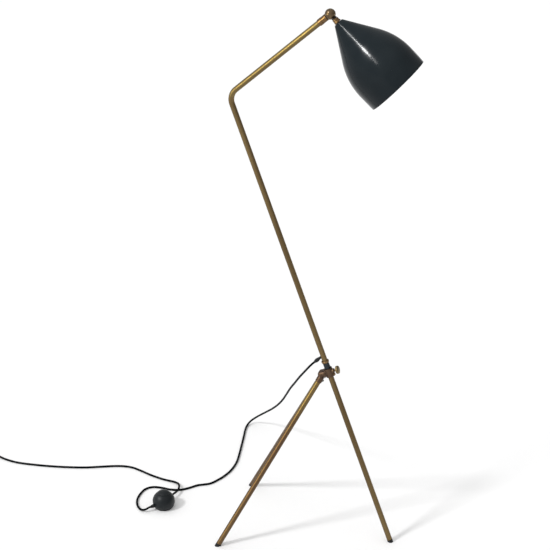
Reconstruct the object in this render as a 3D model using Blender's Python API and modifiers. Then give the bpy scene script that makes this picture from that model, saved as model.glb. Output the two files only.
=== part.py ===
"""Tripod floor lamp: three tube legs in a cast hub, a leaning pole bent into an arm, a slotted ball
joint, a spun metal shade over a screw lampholder, and a foot switch on the flex.

All numbers are millimetres; MM turns them into Blender's metres where a mesh or a frame is made.
+Z is up, the lamp's plane of symmetry is XZ and the shade points to +X. The origin is on the floor,
in the middle of the lamp's own box, which leaves the flex out.
"""

import math

import bmesh
import bpy
from mathutils import Matrix, Vector

MM = 0.001
GAP = 0.3  # clearance between pieces that touch on the real lamp

# Driving dimensions.
TUBE_R, TUBE_WALL, LEG_WALL = 6.2, 0.8, 1.4
HUB = Vector((30.0, 0.0, 415.0))  # where the pole's axis passes through the hub
POLE_LEAN = math.radians(19.9)  # back from the vertical; the front leg goes on in line with the pole
POLE_RISE = 675.0  # along the pole's axis, from the hub to the corner with the arm's axis
ARM_RISE, ARM_LENGTH, BEND_R = math.radians(41.3), 286.0, 30.0
SHADE_DIP = math.radians(43.4)  # of the shade's axis, below the horizontal
TILT_UP, TILT_DOWN = math.radians(10), math.radians(28)  # travel of the shade in the ball's slot
REAR_FOOT = Vector((-229.0, 130.0, -415.0))  # from the hub, on the +Y side
REAR_KNEE = Vector((-30.0, 13.0, -20.0))  # a point on the rear leg's axis, just below its socket
BALL_R, STEM_R, PIN_R = 11.25, 3.5, 1.6
SPIGOT_R, SLEEVE_R, COLLAR_R = 7.0, 9.7, 8.6
CORD_R = 2.5

UP, SIDE = Vector((0, 0, 1)), Vector((0, 1, 0))
POLE = Vector((-math.sin(POLE_LEAN), 0, math.cos(POLE_LEAN)))
ARM = Vector((math.cos(ARM_RISE), 0, math.sin(ARM_RISE)))
SHADE = Vector((math.cos(SHADE_DIP), 0, -math.sin(SHADE_DIP)))
CORNER = HUB + POLE * POLE_RISE
BALL = CORNER + ARM * ARM_LENGTH

# Heights along the pole's axis, from the hub point.
SLEEVE_BOTTOM, SLEEVE_TOP, LEG_TOP, SPIGOT_BOTTOM = 0.5, 21.5, 8.5, 10.3
CLAMP_HEIGHT, LEG_SCREW_HEIGHT = 13.0, 4.2
SPIGOT_SHOULDER, SPIGOT_TOP, COLLAR_TOP, EXIT_HEIGHT = 35.2, 44.0, 41.5, 53.8
FOOT_LENGTH = 6.0  # of the foot tip that shows below the leg's tube

# The foot switch stands on the floor beside the lamp. Its two glands are a little off one line.
SWITCH = Vector((-374.0, -17.0, 0.0))
SWITCH_TURN, GLAND_SPLAY = math.radians(63), math.radians(13)
SWITCH_R, SWITCH_MID, SWITCH_DOME = 26.8, 16.0, 25.6
GLAND_HEIGHT = 11.5
BUTTON_TOP, BUTTON_DOME = 44.2, 22.4

# The spare flex lies in a round coil with the plug beside it.
COIL = Vector((-897.0, 45.0, 1.6))
COIL_IN, COIL_OUT, COIL_HIGH = 19.6, 35.4, 10.4
PLUG = Vector((-846.0, -31.0, 7.3))  # middle of the plug's front face; its two pins point to +X

# Route of the flex from the pole to the foot switch, between its straight ends.
LAMP_ROUTE = (
    (-22, 8, 427), (-38, 30, 401), (-60, 64, 364), (-83, 106, 322), (-107, 152, 278),
    (-130, 198, 232), (-153, 243, 187), (-178, 288, 144), (-205, 330, 104), (-231, 366, 70),
    (-255, 392, 42), (-274, 405, 22), (-288, 404, 9), (-293, 388, 3.6), (-291, 366, 2.7),
    (-286, 340, 2.6), (-278, 296, 2.6), (-270, 251, 2.6), (-265, 212, 2.6), (-267, 176, 2.6),
    (-275, 146, 2.6), (-286, 122, 2.6), (-298, 104, 2.6), (-312, 95, 2.6), (-326, 87, 2.6),
    (-341, 71, 2.6), (-359, 57, 2.6), (-382, 51, 2.6), (-406, 52, 2.6), (-427, 49, 2.6),
    (-441, 37, 2.6), (-446, 18, 2.6), (-446, -4, 2.6), (-441, -24, 2.6), (-431, -41, 2.8),
    (-419, -52, 4.2), (-408, -54, 8.0),
)
# Route of the flex from the foot switch to the coil. It passes over the first one.
PLUG_ROUTE = (
    (-361, 37, 10.0), (-361, 50, 8.7), (-364, 63, 8.2), (-370, 74, 6.8), (-380, 81, 5.0),
    (-392, 85, 3.5), (-406, 87, 2.7), (-424, 90, 2.6), (-454, 98, 2.6), (-484, 109, 2.6),
    (-507, 115.5, 2.6), (-530, 115.5, 2.6), (-555, 109, 2.6), (-585, 97, 2.6), (-620, 83, 2.6),
    (-660, 72, 2.6), (-705, 63, 2.6), (-750, 57, 2.6), (-795, 54, 2.6), (-830, 59, 2.8),
    (-852, 66, 3.4), (-869, 71.2, 4.2),
)
# Its short tail, from the coil to the plug.
TAIL_ROUTE = ((-935.5, 36, 8.6), (-936.5, 21, 5.2), (-934.5, 6, 3.4), (-928.5, -9, 3.4), (-918, -21, 5.2))

parts = bpy.data.collections.new("tripod_floor_lamp")
cutters = bpy.data.collections.new("cutters")


# ---------------------------------------------------------------- materials and frames

def material(name, colour, metallic, roughness):
    made = bpy.data.materials.new(name)
    made.use_nodes = True
    shader = made.node_tree.nodes["Principled BSDF"]
    shader.inputs["Base Color"].default_value = (*colour, 1)
    shader.inputs["Metallic"].default_value = metallic
    shader.inputs["Roughness"].default_value = roughness
    made.diffuse_color = (*colour, 1)
    return made


LOOKS = {
    "brass_tube": ((0.20, 0.14, 0.07), 1.0, 0.42),
    "brass_turned": ((0.30, 0.19, 0.09), 1.0, 0.32),
    "brass_cast": ((0.15, 0.10, 0.07), 1.0, 0.50),
    "steel": ((0.45, 0.44, 0.42), 1.0, 0.35),
    "black_oxide": ((0.03, 0.035, 0.04), 0.6, 0.45),
    "shade_enamel": ((0.022, 0.028, 0.030), 0.0, 0.15),
    "bakelite": ((0.025, 0.026, 0.028), 0.0, 0.30),
    "rubber": ((0.02, 0.02, 0.022), 0.0, 0.70),
    "flex": ((0.015, 0.016, 0.018), 0.0, 0.60),
    "ceramic": ((0.75, 0.73, 0.68), 0.0, 0.40),
    "opal_glass": ((0.92, 0.91, 0.88), 0.0, 0.25),
}


def frame(origin, axis, side=SIDE):
    """A frame with Z along axis and Y as near to side as that allows."""
    z = axis.normalized()
    x = side.cross(z).normalized()
    turn = Matrix((x, z.cross(x), z)).transposed().to_4x4()
    return Matrix.Translation(origin * MM) @ turn


def shifted(base, x=0.0, y=0.0, z=0.0):
    return base @ Matrix.Translation(Vector((x, y, z)) * MM)


LEVEL = Matrix.Identity(4)
POLE_FRAME = frame(HUB, POLE)  # its X is forward of the pole
ARM_FRAME = frame(BALL, ARM)
SHADE_FRAME = frame(BALL, SHADE)
BALL_FRAME = Matrix.Translation(BALL * MM)
SLOT_FRAME = BALL_FRAME @ Matrix.Rotation(math.pi / 2, 4, "X").inverted()  # Z along +Y, Y down
CLAMP_FRAME = shifted(POLE_FRAME, z=CLAMP_HEIGHT) @ Matrix.Rotation(math.pi / 2, 4, "Y")
LEG_SCREW_FRAME = shifted(POLE_FRAME, z=LEG_SCREW_HEIGHT) @ Matrix.Rotation(math.pi / 2, 4, "Y")
EXIT_FRAME = shifted(POLE_FRAME, z=EXIT_HEIGHT) @ Matrix.Rotation(math.radians(-116.2), 4, "Y")
SWITCH_FRAME = Matrix.Translation(SWITCH * MM) @ Matrix.Rotation(SWITCH_TURN, 4, "Z")
GLAND_FRAMES = {}  # Z runs out of the switch along the gland
for name, turn in (("out", GLAND_SPLAY), ("in", math.pi - GLAND_SPLAY)):
    outwards = Matrix.Rotation(turn, 4, "Z") @ Matrix.Rotation(math.pi / 2, 4, "Y")
    GLAND_FRAMES[name] = shifted(SWITCH_FRAME, z=GLAND_HEIGHT) @ outwards
FRONT_FOOT = HUB - POLE * (HUB.z / POLE.z)
LEG_FRAMES = {"front": frame(FRONT_FOOT, POLE)}
LEG_LENGTHS = {"front": HUB.z / POLE.z + LEG_TOP}
REAR_AXIS = REAR_KNEE - REAR_FOOT
SOCKET_MOUTH, SOCKET_DEPTH = REAR_AXIS.length + 9.7, 13.3  # along a rear leg, from the floor
for way, name in ((1, "left"), (-1, "right")):
    mirror = Vector((1, way, 1))
    LEG_FRAMES[name] = frame(HUB + REAR_FOOT * mirror, REAR_AXIS * mirror)
    LEG_LENGTHS[name] = SOCKET_MOUTH + SOCKET_DEPTH - GAP


# ---------------------------------------------------------------- modelling tools

def placed(name, mesh, place, look=None):
    """An object of this mesh. A piece with a look is a part; one without is a cutter or a filler."""
    made = bpy.data.objects.new(name, mesh)
    made.matrix_world = place
    if look:
        colour, metallic, roughness = LOOKS[look]
        mesh.materials.append(material(name, colour, metallic, roughness))
        parts.objects.link(made)
    else:
        made.hide_render = True
        made.display_type = "WIRE"
        cutters.objects.link(made)
    return made


def arc(across, along, radius, start, end, count):
    """Points of an arc in a turned profile, with its angles in degrees from the outward direction."""
    angles = [math.radians(start + (end - start) * i / count) for i in range(count + 1)]
    return [(across + radius * math.cos(a), along + radius * math.sin(a)) for a in angles]


def turned(name, profile, place, look=None, steps=20, ring=False):
    """A turned piece: profile is (radius, height along Z), and ring closes it off the axis."""
    loop = profile + profile[:1]
    if sum(a[0] * b[1] - b[0] * a[1] for a, b in zip(loop, loop[1:])) > 0:
        profile = profile[::-1]
    points = [(r * MM, 0, h * MM) for r, h in profile]
    edges = [(i, i + 1) for i in range(len(points) - 1)]
    if ring:
        edges.append((len(points) - 1, 0))
    mesh = bpy.data.meshes.new(name)
    mesh.from_pydata(points, edges, [])
    made = placed(name, mesh, place, look)
    screw = made.modifiers.new("turn", "SCREW")
    screw.steps = screw.render_steps = steps
    screw.use_merge_vertices = True
    screw.merge_threshold = 0.00001
    return made


def rod(name, radius, low, high, place, look=None, steps=16, chamfer=0.0):
    side = [(radius, high), (radius, low)]
    if chamfer:
        c = chamfer
        side = [(radius - c, high), (radius, high - c), (radius, low + c), (radius - c, low)]
    return turned(name, [(0, high), *side, (0, low)], place, look, steps)


def pipe(name, outer, inner, low, high, place, look=None, steps=16):
    profile = [(outer, high), (outer, low), (inner, low), (inner, high)]
    return turned(name, profile, place, look, steps, ring=True)


def nut(name, across, bore, low, high, place, look):
    """A hexagon nut with a round hole; across is its width over the corners."""
    hexagon = rod(name, across / 2, low, high, place, look, 6)
    return combine(hexagon, "DIFFERENCE", rod(name + "_bore", bore, low - 3, high + 3, place))


def block(name, low, high, place, look=None, bevel=0.0, segments=4):
    """A box between two corners, with rounded edges if bevel is given."""
    size, middle = Vector(high) - Vector(low), (Vector(high) + Vector(low)) / 2
    bm = bmesh.new()
    bmesh.ops.create_cube(bm, size=1)
    bmesh.ops.scale(bm, vec=size * MM, verts=bm.verts)
    bmesh.ops.translate(bm, vec=middle * MM, verts=bm.verts)
    mesh = bpy.data.meshes.new(name)
    bm.to_mesh(mesh)
    bm.free()
    made = placed(name, mesh, place, look)
    if bevel:
        rounding = made.modifiers.new("rounding", "BEVEL")
        rounding.width, rounding.segments = bevel * MM, segments
    return made


def ball(name, radius, place, look=None, around=24, along=12):
    bm = bmesh.new()
    bmesh.ops.create_uvsphere(bm, u_segments=around, v_segments=along, radius=radius * MM)
    mesh = bpy.data.meshes.new(name)
    bm.to_mesh(mesh)
    bm.free()
    return placed(name, mesh, place, look)


def curve_mesh(name, curve, place, look=None):
    """The mesh of a curve object, with its caps welded on."""
    guide = bpy.data.objects.new(name + "_guide", curve)
    bpy.context.scene.collection.objects.link(guide)
    mesh = bpy.data.meshes.new_from_object(guide.evaluated_get(bpy.context.evaluated_depsgraph_get()))
    bpy.data.objects.remove(guide)
    bm = bmesh.new()
    bm.from_mesh(mesh)
    bmesh.ops.remove_doubles(bm, verts=bm.verts, dist=0.00001)
    bm.to_mesh(mesh)
    bm.free()
    mesh.materials.clear()
    return placed(name, mesh, place, look)


def swept(name, points, radius, look, sides=8, capped=True):
    """A round bar along a line of points, in the world's frame."""
    curve = bpy.data.curves.new(name, "CURVE")
    curve.dimensions = "3D"
    curve.bevel_depth = radius * MM
    curve.bevel_resolution = (sides - 4) // 2
    curve.use_fill_caps = capped
    spline = curve.splines.new("POLY")
    spline.points.add(len(points) - 1)
    for point, place in zip(spline.points, points):
        point.co = (*(place * MM), 1)
    return curve_mesh(name, curve, LEVEL, look)


def plate(name, outline, half_thickness, place):
    """A flat outline in XY, given thickness both ways along Z."""
    curve = bpy.data.curves.new(name, "CURVE")
    curve.dimensions, curve.fill_mode = "2D", "BOTH"
    curve.extrude = half_thickness * MM
    spline = curve.splines.new("POLY")
    spline.points.add(len(outline) - 1)
    for point, (x, y) in zip(spline.points, outline):
        point.co = (x * MM, y * MM, 0, 1)
    spline.use_cyclic_u = True
    return curve_mesh(name, curve, place)


def combine(piece, operation, *others):
    """Joins others to the piece (UNION), or cuts them from it (DIFFERENCE)."""
    for other in others:
        step = piece.modifiers.new(other.name, "BOOLEAN")
        step.operation, step.object, step.solver = operation, other, "EXACT"
    return piece


def shell(piece, thickness):
    """Gives a turned surface its wall, inwards."""
    wall = piece.modifiers.new("wall", "SOLIDIFY")
    wall.thickness, wall.offset, wall.use_even_offset = thickness * MM, -1, True
    return piece


def between(a, b, c, d, t):
    """A point from b to c on the Catmull-Rom curve through a, b, c and d."""
    square, cube = 2 * a - 5 * b + 4 * c - d, 3 * b - a - 3 * c + d
    return 0.5 * (2 * b + (c - a) * t + square * t**2 + cube * t**3)


def smooth_line(points, spacing):
    """Points about spacing apart on one smooth curve through the given points."""
    line = [Vector(p) for p in points]
    line = [line[0] * 2 - line[1], *line, line[-1] * 2 - line[-2]]
    fine = [
        between(a, b, c, d, i / 16)
        for a, b, c, d in zip(line, line[1:], line[2:], line[3:])
        for i in range(16)
    ]
    fine.append(line[-2])
    lengths = [0.0]
    for a, b in zip(fine, fine[1:]):
        lengths.append(lengths[-1] + (b - a).length)
    count = max(2, round(lengths[-1] / spacing))
    result, at = [], 0
    for i in range(count + 1):
        wanted = lengths[-1] * i / count
        while at < len(fine) - 2 and lengths[at + 1] < wanted:
            at += 1
        share = (wanted - lengths[at]) / (lengths[at + 1] - lengths[at])
        result.append(fine[at].lerp(fine[at + 1], min(share, 1)))
    return result


# ---------------------------------------------------------------- tripod

def hub_casting():
    """The sleeve that takes the spigot and the front leg, with a web to the two rear sockets."""
    top, low, r = SLEEVE_TOP, SLEEVE_BOTTOM, SLEEVE_R
    hub = turned(
        "hub_casting",
        [(0, top), (r - 1, top), (r - 0.3, top - 0.3), (r, top - 1), (r, low + 2), (r - 2, low), (0, low)],
        POLE_FRAME, "brass_cast", 20,
    )
    web = block("hub_web", (-25.5, -11.5, 3.8), (-4, 11.5, 19), POLE_FRAME, bevel=6.5, segments=2)
    clamp_boss = rod("clamp_boss", 5.1, 8, 13.0, CLAMP_FRAME, chamfer=0.8)
    combine(hub, "UNION", web, clamp_boss)
    for name in ("left", "right"):
        place = shifted(LEG_FRAMES[name], z=SOCKET_MOUTH)
        socket = turned(
            f"socket_{name}",
            [(0, 17.9), *arc(0, 10.3, 7.6, 90, 0, 4)[1:], (7.6, 0.8), (6.9, 0), (0, 0)],
            place, steps=18,
        )
        combine(hub, "UNION", socket)
    combine(
        hub, "DIFFERENCE",
        rod("spigot_bore", SPIGOT_R + GAP, SPIGOT_BOTTOM - GAP, top + 5, POLE_FRAME, steps=20),
        rod("drain_hole", 4, LEG_TOP - 1, SPIGOT_BOTTOM + 1, POLE_FRAME),
        rod("front_leg_bore", TUBE_R + GAP, low - 5, LEG_TOP + GAP, POLE_FRAME, steps=20),
        rod("clamp_hole", 2.3, 5, 20, CLAMP_FRAME, steps=12),
        rod("leg_screw_hole", 1.9, 5.6, 16, LEG_SCREW_FRAME, steps=12),
    )
    for name in ("left", "right"):
        place = shifted(LEG_FRAMES[name], z=SOCKET_MOUTH)
        screw = shifted(place, z=7) @ Matrix.Rotation(math.pi / 2, 4, "Y")
        combine(
            hub, "DIFFERENCE",
            rod(f"rear_bore_{name}", TUBE_R + GAP, -5, SOCKET_DEPTH, place, steps=16),
            rod(f"rear_screw_hole_{name}", 1.9, 4.6, 14, screw, steps=11),
        )
        turned(
            f"rear_leg_screw_{name}",
            [(0, 10.0), (2.4, 10.0), (2.8, 9.6), (2.8, 8.0), (1.6, 8.0), (1.6, 6.6), (0, 6.6)],
            screw, "steel", 12,
        )


def legs():
    floor = block("below_the_floor", (-400, -300, -40), (400, 300, 0), LEVEL)
    for name, place in LEG_FRAMES.items():
        leg = "front_leg" if name == "front" else f"rear_leg_{name}"
        pipe(leg, TUBE_R, TUBE_R - LEG_WALL, FOOT_LENGTH + GAP, LEG_LENGTHS[name], place, "brass_tube")
        inside, show = TUBE_R - LEG_WALL - GAP, FOOT_LENGTH
        tip = turned(
            f"foot_tip_{name}",
            [(0, 18), (inside - 0.6, 18), (inside, 17.4), (inside, show), (TUBE_R, show), (TUBE_R, -8),
             (0, -8)],
            place, "rubber", 16,
        )
        combine(tip, "DIFFERENCE", floor)
    turned(
        "front_leg_screw",
        [(0, 12.4), (2.2, 12.4), (2.9, 11.7), (2.9, 10.1), (1.6, 10.1), (1.6, 6.6), (0, 6.6)],
        LEG_SCREW_FRAME, "brass_turned", 14,
    )


def clamp():
    """The thumb screw that grips the spigot: a threaded shaft and a round knob."""
    rod("clamp_screw", 2.0, 6.8, 21.4, CLAMP_FRAME, "steel", 14, chamfer=0.4)
    turned(
        "clamp_knob",
        [(0, 25.2), (5.0, 24.9), (8.3, 24.0), (9.2, 22.8), (9.2, 19.3), (8.2, 18.1), (4.6, 17.6),
         (3.4, 16.8), (2.3, 16.8), (2.3, 21.8), (0, 21.8)],
        CLAMP_FRAME, "brass_turned", 20,
    )


# ---------------------------------------------------------------- pole, arm and spigot

def spigot():
    """The black journal that turns in the hub; its groove keeps the clamp screw's tip."""
    r = SPIGOT_R
    turned(
        "pole_spigot",
        [(0, SPIGOT_TOP), (4.4, SPIGOT_TOP), (4.9, SPIGOT_TOP - 0.6), (4.9, SPIGOT_SHOULDER),
         (r, SPIGOT_SHOULDER), (r, CLAMP_HEIGHT + 3), (r - 0.6, CLAMP_HEIGHT + 2.4),
         (r - 0.6, CLAMP_HEIGHT - 1.8), (r, CLAMP_HEIGHT - 2.4), (r - 0.4, SPIGOT_BOTTOM),
         (0, SPIGOT_BOTTOM)],
        POLE_FRAME, "black_oxide", 20,
    )


def collar():
    low, top = SPIGOT_SHOULDER + GAP, COLLAR_TOP
    ring = turned(
        "pole_collar",
        [(6.5, top), (7.8, top), *arc(COLLAR_R - 1.4, top - 1.6, 1.4, 80, 0, 2),
         *arc(COLLAR_R - 1.4, low + 1.5, 1.4, 0, -80, 2), (7.4, low), (6.5, low)],
        POLE_FRAME, "brass_turned", 16, ring=True,
    )
    screw = shifted(POLE_FRAME, z=(low + top) / 2) @ Matrix.Rotation(-math.pi / 2, 4, "Y")
    combine(ring, "DIFFERENCE", rod("collar_screw_hole", 1.6, 4, 12, screw, steps=12))
    rod("collar_screw", 1.3, TUBE_R + GAP, 9.1, screw, "steel", 12)


def bent_line(start, end):
    """The axis of pole and arm: straight, a round bend at the corner, straight."""
    turn = POLE.angle(ARM)
    reach = BEND_R * math.tan(turn / 2)
    inwards = (ARM - POLE * POLE.dot(ARM)).normalized()
    centre = CORNER - POLE * reach + inwards * BEND_R
    bend = []
    for i in range(9):
        a = turn * i / 8
        bend.append(centre - inwards * BEND_R * math.cos(a) + POLE * BEND_R * math.sin(a))
    return [start, *bend, end]


def pole_and_arm():
    line = bent_line(HUB + POLE * (SPIGOT_SHOULDER + GAP), BALL - ARM * 15.3)
    tube = shell(swept("pole_and_arm", line, TUBE_R, "brass_tube", sides=16, capped=False), TUBE_WALL)
    combine(tube, "DIFFERENCE", rod("flex_exit", 2.9, 3.4, 12, EXIT_FRAME, steps=14))
    swept("inner_flex", bent_line(HUB + POLE * 58, BALL - ARM * 27), CORD_R - 0.1, "flex")
    turned(
        "strain_relief",
        [(0, 27), (2.7, 27), (3.2, 26.4), (4.0, 24), (4.6, 21.6), (4.7, 20.4), (4.3, 18), (3.4, 13),
         (2.6, 8.6), (2.6, 4), (0, 4)],
        EXIT_FRAME, "rubber", 16,
    )
    turned(
        "arm_ferrule",
        [(6.5, -30.4), (7.1, -30.4), (7.5, -29.9), (7.5, -21.3), (7.2, -20.9), (6.9, -20.5), (7.2, -20.1),
         *arc(0, 0, BALL_R + 0.4, -51.5, -65, 3), (4.9, -15), (6.5, -15)],
        ARM_FRAME, "brass_turned", 16, ring=True,
    )


# ---------------------------------------------------------------- ball joint

def slot_outline():
    """What the stem sweeps as it tilts, with clearance: two edges beside its end positions."""
    width = STEM_R + GAP
    outline = []
    for dip, side in ((SHADE_DIP - TILT_UP, -1), (SHADE_DIP + TILT_DOWN, 1)):
        along = Vector((math.cos(dip), math.sin(dip)))
        edge = Vector((-along.y, along.x)) * width * side
        pair = [edge, edge + along * 16]
        outline += pair if side < 0 else pair[::-1]
    middle = SHADE_DIP + (TILT_DOWN - TILT_UP) / 2
    outline.insert(2, Vector((math.cos(middle), math.sin(middle))) * 22)
    return [(p.x, p.y) for p in outline]


def ball_joint():
    """A ball in two halves, bolted on its pivot pin; its spigot turns in the arm's ferrule."""
    slot = plate("ball_slot", slot_outline(), STEM_R + GAP, SLOT_FRAME)
    chamber = rod("ball_chamber", 6.3, -4.4, 4.4, SLOT_FRAME, steps=20)
    pin_hole = rod("ball_pin_hole", PIN_R + GAP, -8.5, 8.5, SLOT_FRAME, steps=12)
    journal = turned(
        "ball_journal",
        [(0, -9), (4.5, -9), (4.5, -15.6), (3.4, -15.6), (3.4, -23.4), (2.9, -24), (0, -24)],
        ARM_FRAME, steps=20,
    )
    wire_hole = rod("ball_wire_hole", 2.2, -30, -4, ARM_FRAME, steps=14)
    for name, way in (("ball_front_half", 1), ("ball_rear_half", -1)):
        half = ball(name, BALL_R, BALL_FRAME, "brass_turned")
        if way < 0:
            combine(half, "UNION", journal)
        near, far = sorted((way * GAP / 2, -way * 30))
        away = block(name + "_cut", (near, -20, -20), (far, 20, 20), BALL_FRAME)
        combine(half, "DIFFERENCE", away, chamber, slot, pin_hole)
        if way < 0:
            combine(half, "DIFFERENCE", wire_hole)
    rod("pivot_pin", PIN_R, -8.2, 8.2, SLOT_FRAME, "steel", 14)
    nut("swivel_nut", 10.4, 3.7, -20, -16, ARM_FRAME, "brass_turned")


# ---------------------------------------------------------------- shade and lampholder

def neck():
    stem = rod("neck_stem", STEM_R, 0, 34, SHADE_FRAME, "brass_turned", 20)
    combine(stem, "UNION", rod("stem_eye", 4.9, -3.3, 3.3, SLOT_FRAME, steps=20))
    combine(
        stem, "DIFFERENCE",
        rod("stem_pin_hole", PIN_R + GAP, -6, 6, SLOT_FRAME, steps=12),
        rod("stem_bore", 2.0, 7, 36, SHADE_FRAME, steps=14),
    )
    inner = STEM_R + GAP
    turned(
        "neck_washer",
        [(inner, 12), (5.7, 12), *arc(0, 0, BALL_R + 0.4, 61, 71, 2)],
        SHADE_FRAME, "rubber", 20, ring=True,
    )
    turned(
        "neck_ferrule",
        [(inner, 12.3), (5.9, 12.3), (6.4, 12.9), (6.6, 15.5), (7.0, 18.5), (7.5, 20.6), (7.6, 21.8),
         (7.3, 22.7), (inner, 22.7)],
        SHADE_FRAME, "brass_turned", 16, ring=True,
    )


SHADE_TOP, SHADE_RIM = 23.0, 197.0
CONE_SLOPE = math.radians(31)


def shade_profile():
    """Top plate, a straight cone, a long round shoulder and a skirt that draws in a little."""
    top_r, widest, shoulder_r = 10.9, 70.0, 141.0
    rise = shoulder_r * (1 - math.cos(CONE_SLOPE))
    cone_end = SHADE_TOP + (widest - rise - top_r) / math.tan(CONE_SLOPE)
    shoulder_end = cone_end + shoulder_r * math.sin(CONE_SLOPE)
    profile = [(4.0, SHADE_TOP), (8.6, SHADE_TOP), (9.9, SHADE_TOP + 0.5), (top_r, SHADE_TOP + 1.5)]
    profile += [(top_r + 17.5, SHADE_TOP + 1.5 + 17.5 / math.tan(CONE_SLOPE))]
    for i in range(6):
        a = CONE_SLOPE * (1 - i / 5)
        profile.append((widest - shoulder_r * (1 - math.cos(a)), shoulder_end - shoulder_r * math.sin(a)))
    return profile + [(69.8, 180.0), (69.2, SHADE_RIM)]


def shade():
    shell(turned("shade", shade_profile(), SHADE_FRAME, "shade_enamel", 28), 0.9)
    nut("shade_nut", 14.8, STEM_R + GAP, SHADE_TOP + 1.3, SHADE_TOP + 5.2, SHADE_FRAME, "brass_turned")


def lampholder():
    """A screw lampholder in two bakelite shells, with its ceramic insert, contact and thread."""
    turned(
        "lampholder_cap",
        [(3.8, 29), (8.6, 29), (9.4, 29.8), (9.6, 34), (12, 38), (16.6, 43), (18.6, 46.5), (19, 50),
         (19, 54), (14.4, 54), (14.4, 42), (9, 37), (3.8, 37)],
        SHADE_FRAME, "bakelite", 16, ring=True,
    )
    turned(
        "lampholder_shell",
        [(14.4, 54.3), (19, 54.3), (19, 60), (18.2, 62), (18.2, 78), (17.4, 80), (14.4, 80)],
        SHADE_FRAME, "bakelite", 16, ring=True,
    )
    rod("lampholder_insert", 14.0, 43, 53, SHADE_FRAME, "ceramic", 20)
    rod("centre_contact", 3.2, 53.3, 56.2, SHADE_FRAME, "brass_turned", 12, chamfer=0.6)
    pipe("lamp_thread", 14.0, 13.4, 53.4, 78.5, SHADE_FRAME, "brass_turned", 16)
    turned(
        "bulb_cap",
        [(0, 56.6), (4.6, 56.6), (5.2, 57.6), (9, 59.5), (12.4, 61), (13.0, 62), (13.0, 83.2), (12.4, 84),
         (12.1, 84), (12.1, 63), (0, 60.5)],
        SHADE_FRAME, "steel", 16,
    )
    shell(turned(
        "bulb_glass",
        [(12.2, 84.4), (13.6, 88), (14.6, 94), (16.8, 100), (20.8, 106.5), *arc(0, 131, 30, -42, 72, 5),
         (0, 161)],
        SHADE_FRAME, "opal_glass", 14,
    ), 0.8)


# ---------------------------------------------------------------- foot switch

def switch_radius(height):
    """The round body's radius at a height above the floor: a ball a little flattened on top."""
    return SWITCH_R * math.sqrt(1 - ((height - SWITCH_MID) / SWITCH_DOME) ** 2)


def foot_switch():
    place, seam, mouth, wall = SWITCH_FRAME, 6.2, 14.4, 2.2
    rod("switch_pad", 21.0, 0, 1.6, place, "rubber", 20)
    base = turned(
        "switch_base",
        [(0, seam - 0.3), (switch_radius(seam) - 0.2, seam - 0.3), (switch_radius(3), 3), (22.8, 1.9),
         (0, 1.9)],
        place, "bakelite", 20,
    )
    mouth_height = SWITCH_MID + SWITCH_DOME * math.sqrt(1 - (mouth / SWITCH_R) ** 2)
    heights = [seam + (mouth_height - seam) * (i / 6) ** 0.85 for i in range(7)]
    outside = [(switch_radius(h), h) for h in heights]
    inside = [(switch_radius(h) - wall, h - wall * 0.75) for h in heights[2:]]
    cover = turned(
        "switch_cover",
        [*outside, (mouth - 0.1, mouth_height - 2.4), *inside[::-1][1:], (outside[0][0] - wall, seam)],
        place, "bakelite", 20, ring=True,
    )
    for i, way in enumerate((-1, 1)):
        at = shifted(place, y=way * 19.0)
        post = [(0, 31), (2.4, 31), (2.4, seam), (1.5, seam), (1.5, 15), (0, 15)]
        combine(cover, "UNION", turned(f"screw_post_{i}", post, at, steps=12))
        steps_down = [(0, 8), (1.5, 8), (1.5, 3.6), (2.4, 3.6), (2.4, 0.4), (0, 0.4)]
        combine(base, "DIFFERENCE", turned(f"base_hole_{i}", steps_down, at, steps=12))
        turned(
            f"switch_screw_{i + 1}",
            [(0, 14.4), (1.2, 14.4), (1.2, 3.3), (2.1, 3.3), (2.1, 2.0), (0, 2.0)],
            at, "steel", 12,
        )
    for name, gland in GLAND_FRAMES.items():
        combine(cover, "DIFFERENCE", rod(f"gland_hole_{name}", 4.3, 15, 32, gland, steps=16))
        turned(
            f"switch_gland_{name}",
            [(2.8, 21.7), (4.0, 21.7), (4.0, 27.1), (4.6, 27.4), (4.4, 28.8), (3.6, 34.4), (3.3, 35),
             (2.8, 35)],
            gland, "rubber", 14, ring=True,
        )
    block("switch_mechanism", (-11, -8, seam), (11, 8, 15), place, "ceramic", bevel=0.8, segments=2)
    pipe("button_spring", 7.0, 5.6, 15.3, 32.2, place, "steel", 16)
    turned(
        "switch_button",
        [(0, 32.5), (15.0, 32.5), (15.0, 34.0), (mouth - GAP - 0.2, 34.4),
         (mouth - GAP - 0.2, mouth_height + 0.9),
         *arc(0, BUTTON_TOP - BUTTON_DOME, BUTTON_DOME, 53, 80, 3), (0, BUTTON_TOP)],
        place, "bakelite", 20,
    )


# ---------------------------------------------------------------- flex, coil and plug

def along(place, z):
    return (place @ Matrix.Translation((0, 0, z * MM))).translation / MM


def cord(name, start, route, end, spacing=27):
    """A flex that leaves and arrives straight: start and end are frames with a first and last distance."""
    (out, near, far), (into, last, straight) = start, end
    line = [along(out, far), along(out, far + 5), *route]
    if into:
        line += [along(into, straight + 5), along(into, straight)]
    points = [along(out, near), *smooth_line(line, spacing)]
    if into:
        points.append(along(into, last))
    swept(name, points, CORD_R, "flex")


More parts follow.
